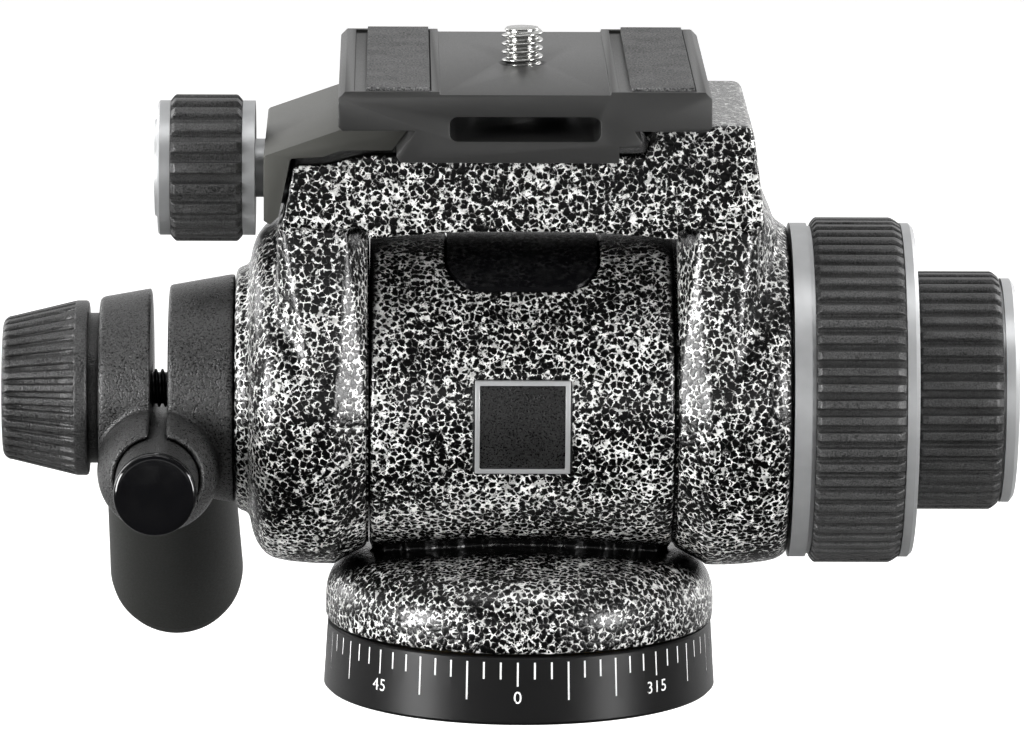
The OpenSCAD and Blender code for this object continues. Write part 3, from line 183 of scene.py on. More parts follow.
grained = {
    "cloudShare": 0.3, "cloudScale": 0.18,    # how much of the mottling is broad, and its waves per mm
    # Painted shade for grooves: the near black colour, and the occlusion levels over which it fades out
    "grooveShadeFrom": 0.45, "grooveShadeTo": 0.95, "groove": "#030303",
    "smoother": 0.06, "rougher": 0.08,
}


# Fine mottled surface: colour that varies a little, and grain of a real size.
# Given a shade reach in mm, grooves about that wide get painted shade, darker towards their floor
def makeGrained(name, colour, light, grainMm, depthMm, settings, spread=0.5, swing=0.3, detail=3.0,
                shadeReachMm=0.0):
    g = grained
    material, tree, shader, place = startMaterial(name, colour, settings)
    grain = addNode(tree, "TexNoise", {"Scale": 1 / grainMm, "Detail": detail}, {"Vector": place})
    cloud = addNode(tree, "TexNoise", {"Scale": g["cloudScale"], "Detail": 3.0}, {"Vector": place})
    faint = addNode(tree, "Math", {"operation": "MULTIPLY", 1: g["cloudShare"]}, {0: cloud.outputs["Fac"]})
    mixed = addNode(tree, "Math", {"operation": "MULTIPLY_ADD", 1: spread}, {
        0: grain.outputs["Fac"], 2: faint.outputs[0]})
    middle = (g["cloudShare"] + spread) / 2
    share = addNode(tree, "MapRange", {1: middle - swing, 2: middle + swing}, {0: mixed.outputs[0]})
    tone = addNode(tree, "ValToRGB", {"stops": [(0.0, colour), (1.0, light)]}, {0: share.outputs[0]})
    shown = tone.outputs[0]
    if shadeReachMm:
        # Painted shade: ambient occlusion blends the tone towards near black deep in the grooves
        wide = addNode(tree, "AmbientOcclusion", {"samples": 8, "Distance": shadeReachMm * mm})
        lit = addNode(tree, "MapRange", {"interpolation_type": "SMOOTHSTEP", 1: g["grooveShadeFrom"],
                                         2: g["grooveShadeTo"]}, {0: wide.outputs["AO"]})
        darkened = addNode(tree, "Mix", {"data_type": "RGBA", 6: linear(g["groove"])},
                           {0: lit.outputs[0], 7: shown})
        shown = darkened.outputs[2]
    tree.links.new(shown, shader.inputs["Base Color"])
    rough = settings["Roughness"]
    uneven = addNode(tree, "MapRange", {1: 0.3, 2: 0.7, 3: rough - g["smoother"], 4: rough + g["rougher"]},
                     {0: grain.outputs["Fac"]})
    tree.links.new(uneven.outputs[0], shader.inputs["Roughness"])
    bumpInto(tree, shader, grain.outputs["Fac"], depthMm)
    return material


turned = {"ringMm": 0.35, "depthMm": 0.004, "cloudScale": 0.25}


# Turned metal: fine rings left by the tool round an axis along X
def makeTurned(name, colour, light, settings):
    material, tree, shader, place = startMaterial(name, colour, settings)
    split = addNode(tree, "SeparateXYZ", {}, {0: place})
    along = addNode(tree, "CombineXYZ", {1: 0.0, 2: 0.0}, {0: split.outputs[0]})
    rings = addNode(tree, "TexNoise", {"Scale": 1 / turned["ringMm"], "Detail": 3.0},
                    {"Vector": along.outputs[0]})
    cloud = addNode(tree, "TexNoise", {"Scale": turned["cloudScale"], "Detail": 3.0}, {"Vector": place})
    tone = addNode(tree, "ValToRGB", {"stops": [(0.3, colour), (0.75, light)]}, {0: cloud.outputs["Fac"]})
    tree.links.new(tone.outputs[0], shader.inputs["Base Color"])
    bumpInto(tree, shader, rings.outputs["Fac"], turned["depthMm"])
    return material


finishes = {
    # Sprayed two-coat lacquer on the castings: black glossy beads in a net of silver flakes
    "hammeredLacquer": makeHammered(),
    # Dyed and sealed turned aluminium: a deep even black with a soft sheen down each side
    "blackAnodisedAluminium": makeGrained("blackAnodisedAluminium", "#0a0a0b", "#111111", 0.16, 0.006,
                                          {"Roughness": 0.34, "Specular IOR Level": 0.3}),
    # Bead blasted, then anodised grey: flat faces that turn pale at a low angle
    "plateAnodisedAluminium": makeGrained("plateAnodisedAluminium", "#424242", "#4b4b4a", 0.14, 0.012,
                                          {"Roughness": 0.42, "Metallic": 0.75}),
    # The same treatment over a milled jaw: a touch lighter and warmer
    "jawAnodisedAluminium": makeGrained("jawAnodisedAluminium", "#5a5a56", "#656561", 0.14, 0.010,
                                        {"Roughness": 0.45, "Metallic": 0.75}),
    # Turned and satin anodised rings: light grey with fine tool rings and a broad highlight
    "satinAluminium": makeTurned("satinAluminium", "#b2b3b4", "#bcbdbe",
                                 {"Roughness": 0.42, "Metallic": 0.7}),
    # Turned with a sharp tool and clear anodised: the brightest metal, with a clear highlight
    "brightAluminium": makeTurned("brightAluminium", "#bcbdbe", "#c6c7c8",
                                  {"Roughness": 0.38, "Metallic": 0.65}),
    # Moulded nitrile rubber: a dry grain on the lands, and painted shade that turns the grooves black
    "mouldedRubber": makeGrained("mouldedRubber", "#101010", "#4c4c4c", 0.24, 0.07, {"Roughness": 0.36},
                                 spread=1.2, swing=0.26, detail=2.0, shadeReachMm=1.2),
    # Cork and rubber sheet, cut: a speckled matt strip
    "padRubber": makeGrained("padRubber", "#202020", "#7c7c7c", 0.3, 0.08,
                             {"Roughness": 0.6, "Specular IOR Level": 0.15},
                             spread=1.5, swing=0.24, detail=2.0),
    # Bright zinc on a rolled thread: small sharp glints on the crests
    "zincSteel": makeTurned("zincSteel", "#b2b2b0", "#c8c8c6", {"Roughness": 0.25, "Metallic": 1.0}),
    # Blacked steel thread: almost black, with a dull edge on each crest
    "blackOxideSteel": makeTurned("blackOxideSteel", "#1c1c1d", "#262627",
                                  {"Roughness": 0.35, "Metallic": 0.6}),
    # Turned and ground steel of the inner parts: mid grey, fine rings
    "turnedSteel": makeTurned("turnedSteel", "#8f9092", "#9c9d9e", {"Roughness": 0.33, "Metallic": 1.0}),
    # Pressed bronze powder, oiled: warm brown metal with open pores
    "sinteredBronze": makeGrained("sinteredBronze", "#7c6434", "#947a44", 0.2, 0.01,
                                  {"Roughness": 0.45, "Metallic": 1.0}),
    # Filled acetal sheet: ivory, smooth and slightly waxy
    "bearingPolymer": makeGrained("bearingPolymer", "#c9c2ae", "#d9d3c2", 0.3, 0.005, {"Roughness": 0.45}),
    # Pressed friction material: brown, dry and coarse
    "frictionLining": makeGrained("frictionLining", "#3a302a", "#54483e", 0.3, 0.03, {"Roughness": 0.8}),
    # Powder coat over a casting, fine sand texture: black with pinpoint glints.
    # Its real grit is nearer 0.15 mm and is drawn coarser so that it shows; painted shade darkens its hollows
    "sandPaint": makeGrained("sandPaint", "#070707", "#444444", 0.28, 0.14, {"Roughness": 0.30},
                             spread=1.5, swing=0.26, detail=2.0, shadeReachMm=1.5),
    # Glass filled nylon from a spark eroded mould: grained, with painted shade that turns the flutes black
    # and leaves the ridges lighter
    "mouldedNylon": makeGrained("mouldedNylon", "#0c0c0c", "#484848", 0.26, 0.12, {"Roughness": 0.34},
                                spread=1.4, swing=0.26, detail=2.0, shadeReachMm=1.2),
    # Polished mould ABS: mirror black, a thin bright arc on its rim
    "glossAbs": makeGrained("glossAbs", "#08080a", "#0b0b0c", 2.5, 0.002, {"Roughness": 0.12}),
    # Closed cell foam sleeve: matt, faintly green black, no highlight edge
    "foamGrip": makeGrained("foamGrip", "#161715", "#22231f", 0.35, 0.015, {"Roughness": 0.62}),
    # Leather grained badge panel: tiny glossy bumps on black
    "grainedPanel": makeGrained("grainedPanel", "#030303", "#262626", 0.26, 0.12, {"Roughness": 0.3},
                                spread=1.6, swing=0.24, detail=2.0),
    # Paint wiped into the engraving: matt white
    "whiteFill": makeGrained("whiteFill", "#e2e2e2", "#eeeeee", 0.3, 0.002, {"Roughness": 0.6}),
}
print("materials made:", len(finishes))

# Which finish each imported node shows
nodeFinish = {
    "blackAnodisedAluminium": ["base_ring"],
    "hammeredLacquer": ["pan_body", "saddle"],
    "glossAbs": ["drum_cover", "bar_end_cap"],
    "brightAluminium": ["badge_frame", "pan_knob_cap"],
    "grainedPanel": ["badge_panel"],
    "satinAluminium": ["tilt_wheel_core", "pan_knob_core", "clamp_knob_core", "drum_end_cap",
                       "brake_pin_guide"],
    "mouldedRubber": ["tilt_wheel_grip", "pan_knob_grip", "clamp_knob_grip"],
    "jawAnodisedAluminium": ["clamp_jaw"],
    "plateAnodisedAluminium": ["quick_plate"],
    "padRubber": ["plate_pads"],
    "zincSteel": ["camera_screw", "clamp_screw"],
    "blackOxideSteel": ["clamp_stud"],
    "sandPaint": ["handle_clamp", "handle_bar"],
    "mouldedNylon": ["cone_knob", "knob_washer"],
    "foamGrip": ["handle_grip"],
    "turnedSteel": ["tripod_bush", "base_screws", "pan_spindle", "pan_spring_washer", "pan_nut", "tilt_axle",
                    "axle_screws", "brake_key", "wheel_retaining_ring", "knob_retaining_ring", "pan_push_rod",
                    "pressure_plate", "tilt_trunnion", "trunnion_screws", "jaw_springs", "jaw_guide_pins"],
    "sinteredBronze": ["pan_damper_cup", "pan_damper_rotor", "pan_bush", "tilt_bush_left", "tilt_damper_cup",
                       "tilt_damper_rotor", "tilt_bush_right", "pan_brake_pin"],
    "bearingPolymer": ["pan_thrust_washer"],
    "frictionLining": ["brake_lining"],
}
for finishName, nodeNames in nodeFinish.items():
    for nodeName in nodeNames:
        slots = nodes[nodeName].material_slots
        for slot in slots:
            slot.material = finishes[finishName]
        if not slots:
            nodes[nodeName].data.materials.append(finishes[finishName])


# A visible piece: its finish, the body it rides and the nodes it stands for
def addPiece(name, mesh, finishName, body, replaced=()):
    piece = bpy.data.objects.new(name, mesh)
    scene.collection.objects.link(piece)
    mesh.materials.clear()
    mesh.materials.append(finishes[finishName])
    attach(piece, body)
    if replaced:
        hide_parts(*replaced)


# The mesh that an object has once its modifiers are done
def settledMesh(piece):
    mesh = bpy.data.meshes.new_from_object(piece.evaluated_get(bpy.context.evaluated_depsgraph_get()))
    for modifier in list(piece.modifiers):
        piece.modifiers.remove(modifier)
    return mesh


# An object to work on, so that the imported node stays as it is
def copyOfNode(nodeName):
    mesh = nodes[nodeName].data.copy()
    helper = bpy.data.objects.new("helper", mesh)
    scene.collection.objects.link(helper)
    return helper


# Cast parts: every edge of the solid is rounded as it comes from the mould
def castMesh(nodeName, voxelMm, rounds):
    helper = copyOfNode(nodeName)
    skin = helper.modifiers.new("skin", "REMESH")
    skin.mode = "VOXEL"
    skin.voxel_size = voxelMm * mm
    soften = helper.modifiers.new("soften", "SMOOTH")
    soften.factor = 0.5
    soften.iterations = rounds
    mesh = settledMesh(helper)
    bpy.data.objects.remove(helper)
    mesh.shade_smooth()
    return mesh


# A closed mesh from rings of points; each ring joins the next and the last joins the first
def ringMesh(name, rings, closeLoop=True):
    mesh = bpy.data.meshes.new(name)
    count = len(rings[0])
    faces = []
    for i in range(len(rings) if closeLoop else len(rings) - 1):
        j = (i + 1) % len(rings)
        for k in range(count):
            m = (k + 1) % count
            faces.append((i * count + k, i * count + m, j * count + m, j * count + k))
    mesh.from_pydata([point for ring in rings for point in ring], [], faces)
    shape = bmesh.new()
    shape.from_mesh(mesh)
    bmesh.ops.recalc_face_normals(shape, faces=shape.faces)
    shape.to_mesh(mesh)
    shape.free()
    mesh.shade_smooth()
    return mesh


# Flat lids over the open ends of a mesh
def capEnds(mesh):
    shape = bmesh.new()
    shape.from_mesh(mesh)
    bmesh.ops.holes_fill(shape, edges=[e for e in shape.edges if e.is_boundary])
    bmesh.ops.recalc_face_normals(shape, faces=shape.faces)
    shape.to_mesh(mesh)
    shape.free()


def joinMeshes(name, meshes):
    shape = bmesh.new()
    for mesh in meshes:
        shape.from_mesh(mesh)
    joined = bpy.data.meshes.new(name)
    shape.to_mesh(joined)
    shape.free()
    return joined


seam = {"outerMm": 23.7, "innerMm": 22.6, "rootMm": 0.6, "runningMm": 0.08, "steps": 120}


# Lip turned on the inner face of each cheek: it closes the seam beside the drum, so no light comes through
def seamLip(side):
    drumEnd = -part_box("drum_end_cap")[0][0] / mm
    axisZ = sum(corner[2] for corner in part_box("tilt_axle")) / 2
    near, far = drumEnd + seam["runningMm"], drumEnd + seam["rootMm"]
    rings = []
    inner, outer = seam["innerMm"], seam["outerMm"]
    corners = ((near, inner), (near, outer), (far, outer), (far, inner))
    for x, radius in corners:
        ring = []
        for k in range(seam["steps"]):
            turn = 2 * math.pi * k / seam["steps"]
            ring.append((side * x * mm, radius * mm * math.cos(turn), axisZ + radius * mm * math.sin(turn)))
        rings.append(ring)
    return ringMesh("seamLip", rings)


castings = {
    "saddleCasting": {"node": "saddle", "body": "tilt", "voxelMm": 0.5, "rounds": 8,
                      "finish": "hammeredLacquer", "slot": "hammered_paint"},
    "panCasting": {"node": "pan_body", "body": "pan", "voxelMm": 0.5, "rounds": 5,
                   "finish": "hammeredLacquer", "slot": "hammered_paint"},
    "clampCasting": {"node": "handle_clamp", "body": "handle_clamp", "voxelMm": 0.35, "rounds": 6,
                     "finish": "sandPaint", "slot": "black_paint"},
}
for name, facts in castings.items():
    mesh = castMesh(facts["node"], facts["voxelMm"], facts["rounds"])
    if name == "saddleCasting":
        mesh = joinMeshes(name, [mesh] + [seamLip(side) for side in (-1, 1)])
    addPiece(name, mesh, facts["finish"], facts["body"], [facts["node"]])
    print("cast:", name, len(mesh.polygons), "faces")


edges = {"mergeMm": 0.001, "flatDegrees": 1, "sharpDegrees": 28, "creaseDegrees": 24, "steps": 2}


# Machined and moulded parts: the sharp edges of the solid are broken, so they catch the light
def brokenMesh(nodeName, widthMm, steps):
    source = nodes[nodeName].data
    mesh = bpy.data.meshes.new(nodeName + "Broken")
    mesh.from_pydata([v.co for v in source.vertices], [], [tuple(p.vertices) for p in source.polygons])
    shape = bmesh.new()
    shape.from_mesh(mesh)
    bmesh.ops.remove_doubles(shape, verts=shape.verts, dist=edges["mergeMm"] * mm)
    bmesh.ops.dissolve_limit(shape, angle_limit=math.radians(edges["flatDegrees"]), verts=shape.verts,
                             edges=shape.edges)
    sharp = [e for e in shape.edges
             if len(e.link_faces) == 2 and e.calc_face_angle(0) > math.radians(edges["sharpDegrees"])]
    bmesh.ops.bevel(shape, geom=sharp, offset=widthMm * mm, offset_type="OFFSET", segments=steps, profile=0.5,
                    affect="EDGES", clamp_overlap=True)
    bmesh.ops.recalc_face_normals(shape, faces=shape.faces)
    shape.to_mesh(mesh)
    shape.free()
    mesh.shade_smooth()
    mesh.set_sharp_from_angle(angle=math.radians(edges["creaseDegrees"]))
    return mesh


machined = {
    "plateMachined": {"node": "quick_plate", "body": "plate", "edgeMm": 0.25,
                      "finish": "plateAnodisedAluminium", "slot": "plate_anodised"},
    "jawMachined": {"node": "clamp_jaw", "body": "jaw", "edgeMm": 0.25,
                    "finish": "jawAnodisedAluminium", "slot": "jaw_anodised"},
    "badgeFrameCast": {"node": "badge_frame", "body": "pan", "edgeMm": 0.18,
                       "finish": "brightAluminium", "slot": "bright_metal"},
    "endCapMoulded": {"node": "bar_end_cap", "body": "handle", "edgeMm": 0.7, "steps": 5,
                      "finish": "glossAbs", "slot": "gloss_black"},
}
for name, facts in machined.items():
    mesh = brokenMesh(facts["node"], facts["edgeMm"], facts.get("steps", edges["steps"]))
    addPiece(name, mesh, facts["finish"], facts["body"], [facts["node"]])
    print("machined:", name, len(mesh.polygons), "faces")


grips = {
    "wheelGripRubber": {"node": "tilt_wheel_grip", "body": "tilt_wheel", "ribs": 66, "leftEndMm": 0.8,
                        "rightEndMm": 1.6},
    "panGripRubber": {"node": "pan_knob_grip", "body": "pan_knob", "ribs": 43, "leftEndMm": 0.8,
                      "rightEndMm": 1.3},
    "clampGripRubber": {"node": "clamp_knob_grip", "body": "clamp_knob", "ribs": 21, "leftEndMm": 0.9,
                        "rightEndMm": 0.9},
}
ribs = {"grooveShare": 0.42, "wallShare": 0.14, "grooveMm": 0.9, "crownMm": 0.10, "wallMm": 1.7,
        "places": (0.0, 0.12, 0.19, 0.23, 0.26, 0.30, 0.42, 0.58, 0.70, 0.74, 0.77, 0.81, 0.88),
        "endDropMm": 0.9, "endPlaces": (0, 0.12, 0.3, 0.55, 0.8, 1.0), "endCurve": 1.4}


# How deep a ribbed surface lies at a share of one rib: 0 on the land, 1 on the groove's flat floor
def grooveLevel(t, grooveShare, wallShare):
    fromMiddle = abs(t - 0.5) * 2
    down = min(1.0, max(0.0, (grooveShare + wallShare - fromMiddle) / wallShare))
    return down * down * (3 - 2 * down)


# Rubber sleeve about an axis along X: flat-floored grooves between lands, and both ends chamfered
def gripMesh(facts):
    low, high = (Vector(c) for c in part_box(facts["node"]))
    centreZ = (low.z + high.z) / 2
    radius = (high.z - low.z) / 2
    turns, levels = [], []
    for rib in range(facts["ribs"]):
        for t in ribs["places"]:
            turns.append(2 * math.pi * (rib + t) / facts["ribs"])
            deep = ribs["grooveMm"] * grooveLevel(t, ribs["grooveShare"], ribs["wallShare"])
            levels.append((deep + ribs["crownMm"] * (1 - abs(t - 0.5) * 2)) * mm)
    places = ribs["endPlaces"]
    drops = [ribs["endDropMm"] * mm * (1 - p) ** ribs["endCurve"] for p in places]
    stations = [(low.x + facts["leftEndMm"] * mm * p, drop) for p, drop in zip(places, drops)]
    stations += [(high.x - facts["rightEndMm"] * mm * p, drop)
                 for p, drop in zip(places[::-1], drops[::-1])]
    inner = radius - ribs["wallMm"] * mm
    rings = [[(x, min(radius - level, radius - drop), turn) for level, turn in zip(levels, turns)]
             for x, drop in stations]
    rings += [[(x, inner, turn) for turn in turns] for x in (high.x, low.x)]
    return ringMesh("grip", [[(x, r * math.cos(turn), centreZ + r * math.sin(turn)) for x, r, turn in ring]
                             for ring in rings])


for name, facts in grips.items():
    addPiece(name, gripMesh(facts), "mouldedRubber", facts["body"], [facts["node"]])
print("grips made")

coneKnob = {
    "flutes": 36, "fluteMm": 0.65, "fluteShare": 0.40, "wallShare": 0.18, "fluteEndDegrees": 70,
    "places": (0.0, 0.14, 0.22, 0.27, 0.33, 0.42, 0.5, 0.58, 0.67, 0.73, 0.78, 0.86),
    # The plain band's edge is rounded at both ends, and the cone begins a little below it
    "bandMm": 2.1, "edgeMm": 0.4, "edgeMiddleMm": 0.12, "bandRoundMm": 0.35, "bandLastMm": 0.1,
    "bandDropMm": 0.06, "coneDropMm": 0.08,
    "smallRadiusMm": 11.1, "roundMm": 1.5, "roundShare": 0.9,
}


# Moulded cone knob: flutes start square at the band and run out in points on the rounded end
def makeConeKnob():
    f = coneKnob
    low, high = (Vector(c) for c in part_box("cone_knob"))
    centreZ = (low.z + high.z) / 2
    wide, small = (high.z - low.z) / 2 / mm, f["smallRadiusMm"]
    length = (high.x - low.x) / mm
    cone = length - f["bandMm"] - f["roundMm"]
    middle, coneTop = f["edgeMiddleMm"], wide - f["coneDropMm"]
    # Each station: how far along, the radius, and how much of the flutes' depth is left
    stations = [(0.0, wide - f["edgeMm"], 0.0), (middle, wide - middle, 0.0), (f["edgeMm"], wide, 0.0),
                (f["bandMm"] - f["bandRoundMm"], wide, 0.0),
                (f["bandMm"] - f["bandLastMm"], wide - f["bandDropMm"], 0.0)]
    for share in (0.0, 0.25, 0.5, 0.75, 1.0):
        stations.append((f["bandMm"] + cone * share, coneTop + (small - coneTop) * share, 1.0))
    for degrees in (20, 40, 60, 80, 90):
        turn = math.radians(degrees)
        along = length - f["roundMm"] * (1 - math.sin(turn))
        drop = f["roundMm"] * (1 - math.cos(turn)) * f["roundShare"]
        stations.append((along, small - drop, max(0.0, 1 - degrees / f["fluteEndDegrees"])))
    rings = []
    for along, radius, reach in stations:
        ring = []
        for flute in range(f["flutes"]):
            for t in f["places"]:
                deep = 0
                if reach:
                    deep = f["fluteMm"] * reach * grooveLevel(t, f["fluteShare"] * reach, f["wallShare"])
                turn = 2 * math.pi * (flute + t) / f["flutes"]
                r = (radius - deep) * mm
                ring.append((high.x - along * mm, r * math.cos(turn), centreZ + r * math.sin(turn)))
        rings.append(ring)
    mesh = ringMesh("coneKnobMoulding", rings, closeLoop=False)
    capEnds(mesh)
    addPiece("coneKnobMoulding", mesh, "mouldedNylon", "cone_knob", ["cone_knob"])


threads = {
    "camera": {"crestMm": 3.17, "rootMm": 2.5, "pitchMm": 1.27, "fromMm": 96.9, "toMm": 102.9,
               "coreMm": 2.3, "coreFromMm": 0.4, "coreTopMm": 0.2},
    "stud": {"crestMm": 2.98, "rootMm": 2.45, "pitchMm": 1.0},
    "form": {"around": 60, "rowsPerTurn": 16, "crest": 1.25, "flank": 3.4, "chamferMm": 0.7},
}


# Screw thread about an axis through the origin along Z, with rounded crests and chamfered ends
def threadRings(facts):
    form, pitch = threads["form"], facts["pitchMm"]
    rows = int((facts["toMm"] - facts["fromMm"]) / pitch * form["rowsPerTurn"])
    rings = []
    for row in range(rows + 1):
        z = facts["fromMm"] + (facts["toMm"] - facts["fromMm"]) * row / rows
        ring = []
        for k in range(form["around"]):
            turn = k / form["around"]
            phase = (z / pitch - turn) % 1.0
            rise = min(1.0, max(0.0, form["crest"] - abs(phase - 0.5) * form["flank"]))
            rise = rise * rise * (3 - 2 * rise)
            r = facts["rootMm"] + (facts["crestMm"] - facts["rootMm"]) * rise
            ends = min(facts["toMm"] - z, z - facts["fromMm"])
            r = min(r, facts["crestMm"] - form["chamferMm"] + ends)
            angle = 2 * math.pi * turn
            ring.append((r * mm * math.cos(angle), r * mm * math.sin(angle), z * mm))
        rings.append(ring)
    return rings


# Camera screw: the head and shank as packed, and a cut thread in place of the plain cylinder
def makeCameraScrew():
    facts = threads["camera"]
    core = nodes["camera_screw"].data.copy()
    for vertex in core.vertices:
        radius = math.hypot(vertex.co.x, vertex.co.y)
        if vertex.co.z > (facts["fromMm"] + facts["coreFromMm"]) * mm and radius > facts["coreMm"] * mm:
            vertex.co.x *= facts["coreMm"] * mm / radius
            vertex.co.y *= facts["coreMm"] * mm / radius
        vertex.co.z = min(vertex.co.z, (facts["toMm"] - facts["coreTopMm"]) * mm)
    thread = ringMesh("thread", threadRings(facts), closeLoop=False)
    capEnds(thread)
    mesh = joinMeshes("cameraScrewThread", [core, thread])
    addPiece("cameraScrewThread", mesh, "zincSteel", "camera_screw", ["camera_screw"])


# Clamp stud: threaded from end to end, black
def makeStud():
    low, high = (Vector(c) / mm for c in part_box("clamp_stud"))
    facts = dict(threads["stud"], fromMm=low.x, toMm=high.x)
    mesh = ringMesh("studThread", threadRings(facts), closeLoop=False)
    capEnds(mesh)
    mesh.transform(Matrix(((0, 0, 1, 0), (1, 0, 0, 0), (0, 1, 0, (low.z + high.z) / 2 * mm), (0, 0, 0, 1))))
    addPiece("studThread", mesh, "blackOxideSteel", "cone_knob", ["clamp_stud"])


makeCameraScrew()
makeStud()
makeConeKnob()

scaleMarks = {
    "turn": 1.2, "topMm": 10.5, "footMm": 30.3, "rimMm": 29.7,    # how far the scale is turned, and the rim
    "everyDegrees": 5, "longEvery": 15, "numberEvery": 45,
    "startMm": 0.8, "shortMm": 2.6, "numberedMm": 3.7, "longMm": 5.9,
    "widthMm": 0.3, "sunkMm": 0.05, "thickMm": 0.08,
    "digitMm": 1.85, "digitTopMm": 5.25, "digitSpacing": 1.12, "digitProudMm": 0.012,
}


# The rim widens a little towards its foot
def rimRadius(z):
    f = scaleMarks
    return f["rimMm"] + (f["footMm"] - f["rimMm"]) * (f["topMm"] - z) / f["topMm"]


# White filled scale marks, one each 5 degrees
def makeScaleMarks():
    f = scaleMarks
    points, faces = [], []
    for degrees in range(0, 360, f["everyDegrees"]):
        length = f["shortMm"]
        if degrees % f["numberEvery"] == 0:
            length = f["numberedMm"]
        elif degrees % f["longEvery"] == 0:
            length = f["longMm"]
        middle = math.radians(-90 - degrees - f["turn"])
        half = f["widthMm"] / 2 / f["rimMm"]
        first = len(points)
        for z in (f["topMm"] - f["startMm"], f["topMm"] - f["startMm"] - length):
            for turn in (middle - half, middle + half):
                for inward in (f["sunkMm"], f["sunkMm"] + f["thickMm"]):
                    r = (rimRadius(z) - inward) * mm
                    points.append((r * math.cos(turn), r * math.sin(turn), z * mm))
        for quad in ((0, 2, 6, 4), (1, 5, 7, 3), (0, 1, 3, 2), (4, 6, 7, 5), (0, 4, 5, 1), (2, 3, 7, 6)):
            faces.append(tuple(first + q for q in quad))
    mesh = bpy.data.meshes.new("scaleMarks")
    mesh.from_pydata(points, [], faces)
    shape = bmesh.new()
    shape.from_mesh(mesh)
    bmesh.ops.recalc_face_normals(shape, faces=shape.faces)
    shape.to_mesh(mesh)
    shape.free()
    addPiece("scaleMarks", mesh, "whiteFill", "base")


# The scale's numbers, laid round the rim
def makeScaleNumbers():
    f = scaleMarks
    parts = []
    for number in range(0, 360, f["numberEvery"]):
        curve = bpy.data.curves.new("digits", "FONT")
        curve.body = str(number)
        curve.align_x = "CENTER"
        curve.extrude = 0.02    # gives the digits a front and a back, which are set to the rim below
        curve.space_character = f["digitSpacing"]
        helper = bpy.data.objects.new("helper", curve)
        scene.collection.objects.link(helper)
        mesh = settledMesh(helper)
        bpy.data.objects.remove(helper)
        tall = max(v.co.y for v in mesh.vertices) - min(v.co.y for v in mesh.vertices)
        base = min(v.co.y for v in mesh.vertices)
        grow = f["digitMm"] / tall
        for vertex in mesh.vertices:
            z = f["digitTopMm"] - f["digitMm"] + (vertex.co.y - base) * grow
            r = (rimRadius(z) + f["digitProudMm"] * (1 if vertex.co.z > 0 else -2)) * mm
            turn = math.radians(-90 - number - f["turn"]) + vertex.co.x * grow / rimRadius(z)
            vertex.co = (r * math.cos(turn), r * math.sin(turn), z * mm)
        parts.append(mesh)
    addPiece("scaleNumbers", joinMeshes("scaleNumbers", parts), "whiteFill", "base")


makeScaleMarks()
makeScaleNumbers()
print("scale marked")

studio = {
    # The floor stands clear of the handle's lowest reach
    "floorMm": -80.0, "floorSize": 12, "floor": "#e6e6e5", "floorGlow": 0.66, "ambient": 0.30,
    # What gloss sees: dark in front, bright behind, and where along Y the paper and the room change over
    "frontDark": 0.03, "backBright": 0.9, "paperFromMm": -40.0, "paperToMm": 600.0,
    "roomFrom": -0.5, "roomTo": 0.6,
    "aim": (0, 0, 0.05),
    "lamps": [
        # name, place, width and height in metres, strength in watts
        ("leftSoftbox", (-1.00, -0.55, 0.10), 0.40, 0.6, 20.0),
        ("rightSoftbox", (0.90, -0.65, 0.14), 0.30, 0.6, 12.0),
        ("topSoftbox", (-0.05, -0.30, 1.10), 0.9, 0.40, 3.5),
        ("frontFill", (-0.10, -1.30, 0.12), 1.3, 0.3, 1.2),
        ("backLeft", (-0.8, 0.6, 0.35), 0.4, 0.7, 4.0),
        ("backRight", (0.8, 0.6, 0.35), 0.4, 0.7, 4.0),
    ],
}


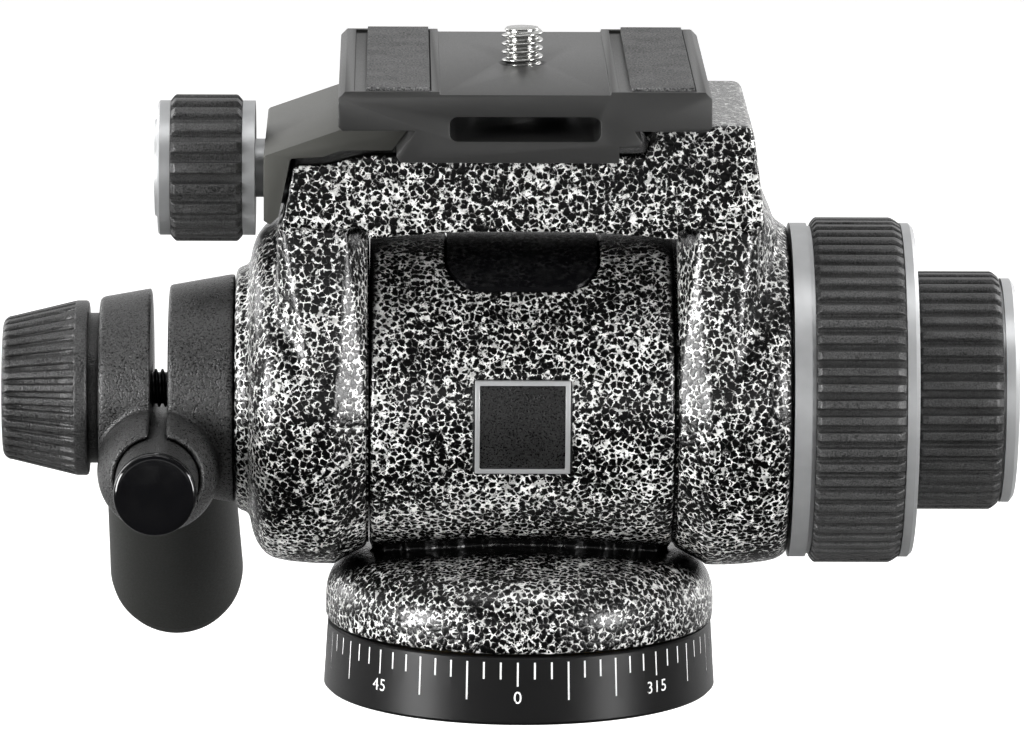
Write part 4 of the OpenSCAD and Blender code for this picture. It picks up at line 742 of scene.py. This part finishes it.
def makeStudio():
    bpy.ops.mesh.primitive_plane_add(size=studio["floorSize"], location=(0, 0, studio["floorMm"] * mm))
    floor = bpy.context.object
    floor.name = "studioFloor"
    material, tree, shader, place = startMaterial("paperFloor", studio["floor"], {"Roughness": 0.9})
    rays = addNode(tree, "LightPath")
    white = addNode(tree, "Emission", {"Color": linear("#ffffff"), "Strength": studio["floorGlow"]})
    both = addNode(tree, "AddShader", {}, {0: shader.outputs[0], 1: white.outputs[0]})
    # Seen in the gloss, the paper is white behind the object and falls away in front
    split = addNode(tree, "SeparateXYZ", {}, {0: place})
    depth = addNode(tree, "MapRange", {
        "interpolation_type": "SMOOTHSTEP", 1: studio["paperFromMm"], 2: studio["paperToMm"],
        3: studio["frontDark"], 4: studio["backBright"]}, {0: split.outputs[1]})
    sheen = addNode(tree, "Emission", {"Color": linear("#ffffff")}, {"Strength": depth.outputs[0]})
    mirrored = addNode(tree, "MixShader", {}, {0: rays.outputs["Is Glossy Ray"], 1: shader.outputs[0],
                                               2: sheen.outputs[0]})
    shown = addNode(tree, "MixShader", {}, {0: rays.outputs["Is Camera Ray"], 1: mirrored.outputs[0],
                                            2: both.outputs[0]})
    tree.links.new(shown.outputs[0], tree.nodes["Material Output"].inputs["Surface"])
    floor.data.materials.append(material)

    world = bpy.data.worlds.new("studioWorld")
    scene.world = world
    world.use_nodes = True
    tree = world.node_tree
    air = tree.nodes["Background"]
    air.inputs["Color"].default_value = (1, 1, 1, 1)
    air.inputs["Strength"].default_value = studio["ambient"]
    white = addNode(tree, "Background", {"Color": (1, 1, 1, 1), "Strength": 1.0})
    room = addNode(tree, "Background", {"Color": (1, 1, 1, 1)})
    rays = addNode(tree, "LightPath")
    # The backdrop side is white, and the room behind the camera is dark
    direction = addNode(tree, "TexCoord")
    split = addNode(tree, "SeparateXYZ", {}, {0: direction.outputs["Generated"]})
    depth = addNode(tree, "MapRange", {
        "interpolation_type": "SMOOTHSTEP", 1: studio["roomFrom"], 2: studio["roomTo"],
        3: studio["frontDark"], 4: studio["backBright"]}, {0: split.outputs[1]})
    tree.links.new(depth.outputs[0], room.inputs["Strength"])
    mirrored = addNode(tree, "Math", {"operation": "MAXIMUM"}, {0: rays.outputs["Is Glossy Ray"],
                                                               1: rays.outputs["Is Transmission Ray"]})
    lit = addNode(tree, "MixShader", {}, {0: mirrored.outputs[0], 1: air.outputs[0], 2: room.outputs[0]})
    shown = addNode(tree, "MixShader", {}, {0: rays.outputs["Is Camera Ray"], 1: lit.outputs[0],
                                            2: white.outputs[0]})
    tree.links.new(shown.outputs[0], tree.nodes["World Output"].inputs["Surface"])

    for name, place, width, height, watts in studio["lamps"]:
        data = bpy.data.lights.new(name, "AREA")
        data.shape = "RECTANGLE"
        data.size, data.size_y = width, height
        data.energy = watts
        lamp = bpy.data.objects.new(name, data)
        lamp.location = place
        lamp.rotation_euler = (Vector(studio["aim"]) - Vector(place)).to_track_quat("-Z", "Y").to_euler()
        scene.collection.objects.link(lamp)


makeStudio()
print("studio ready")
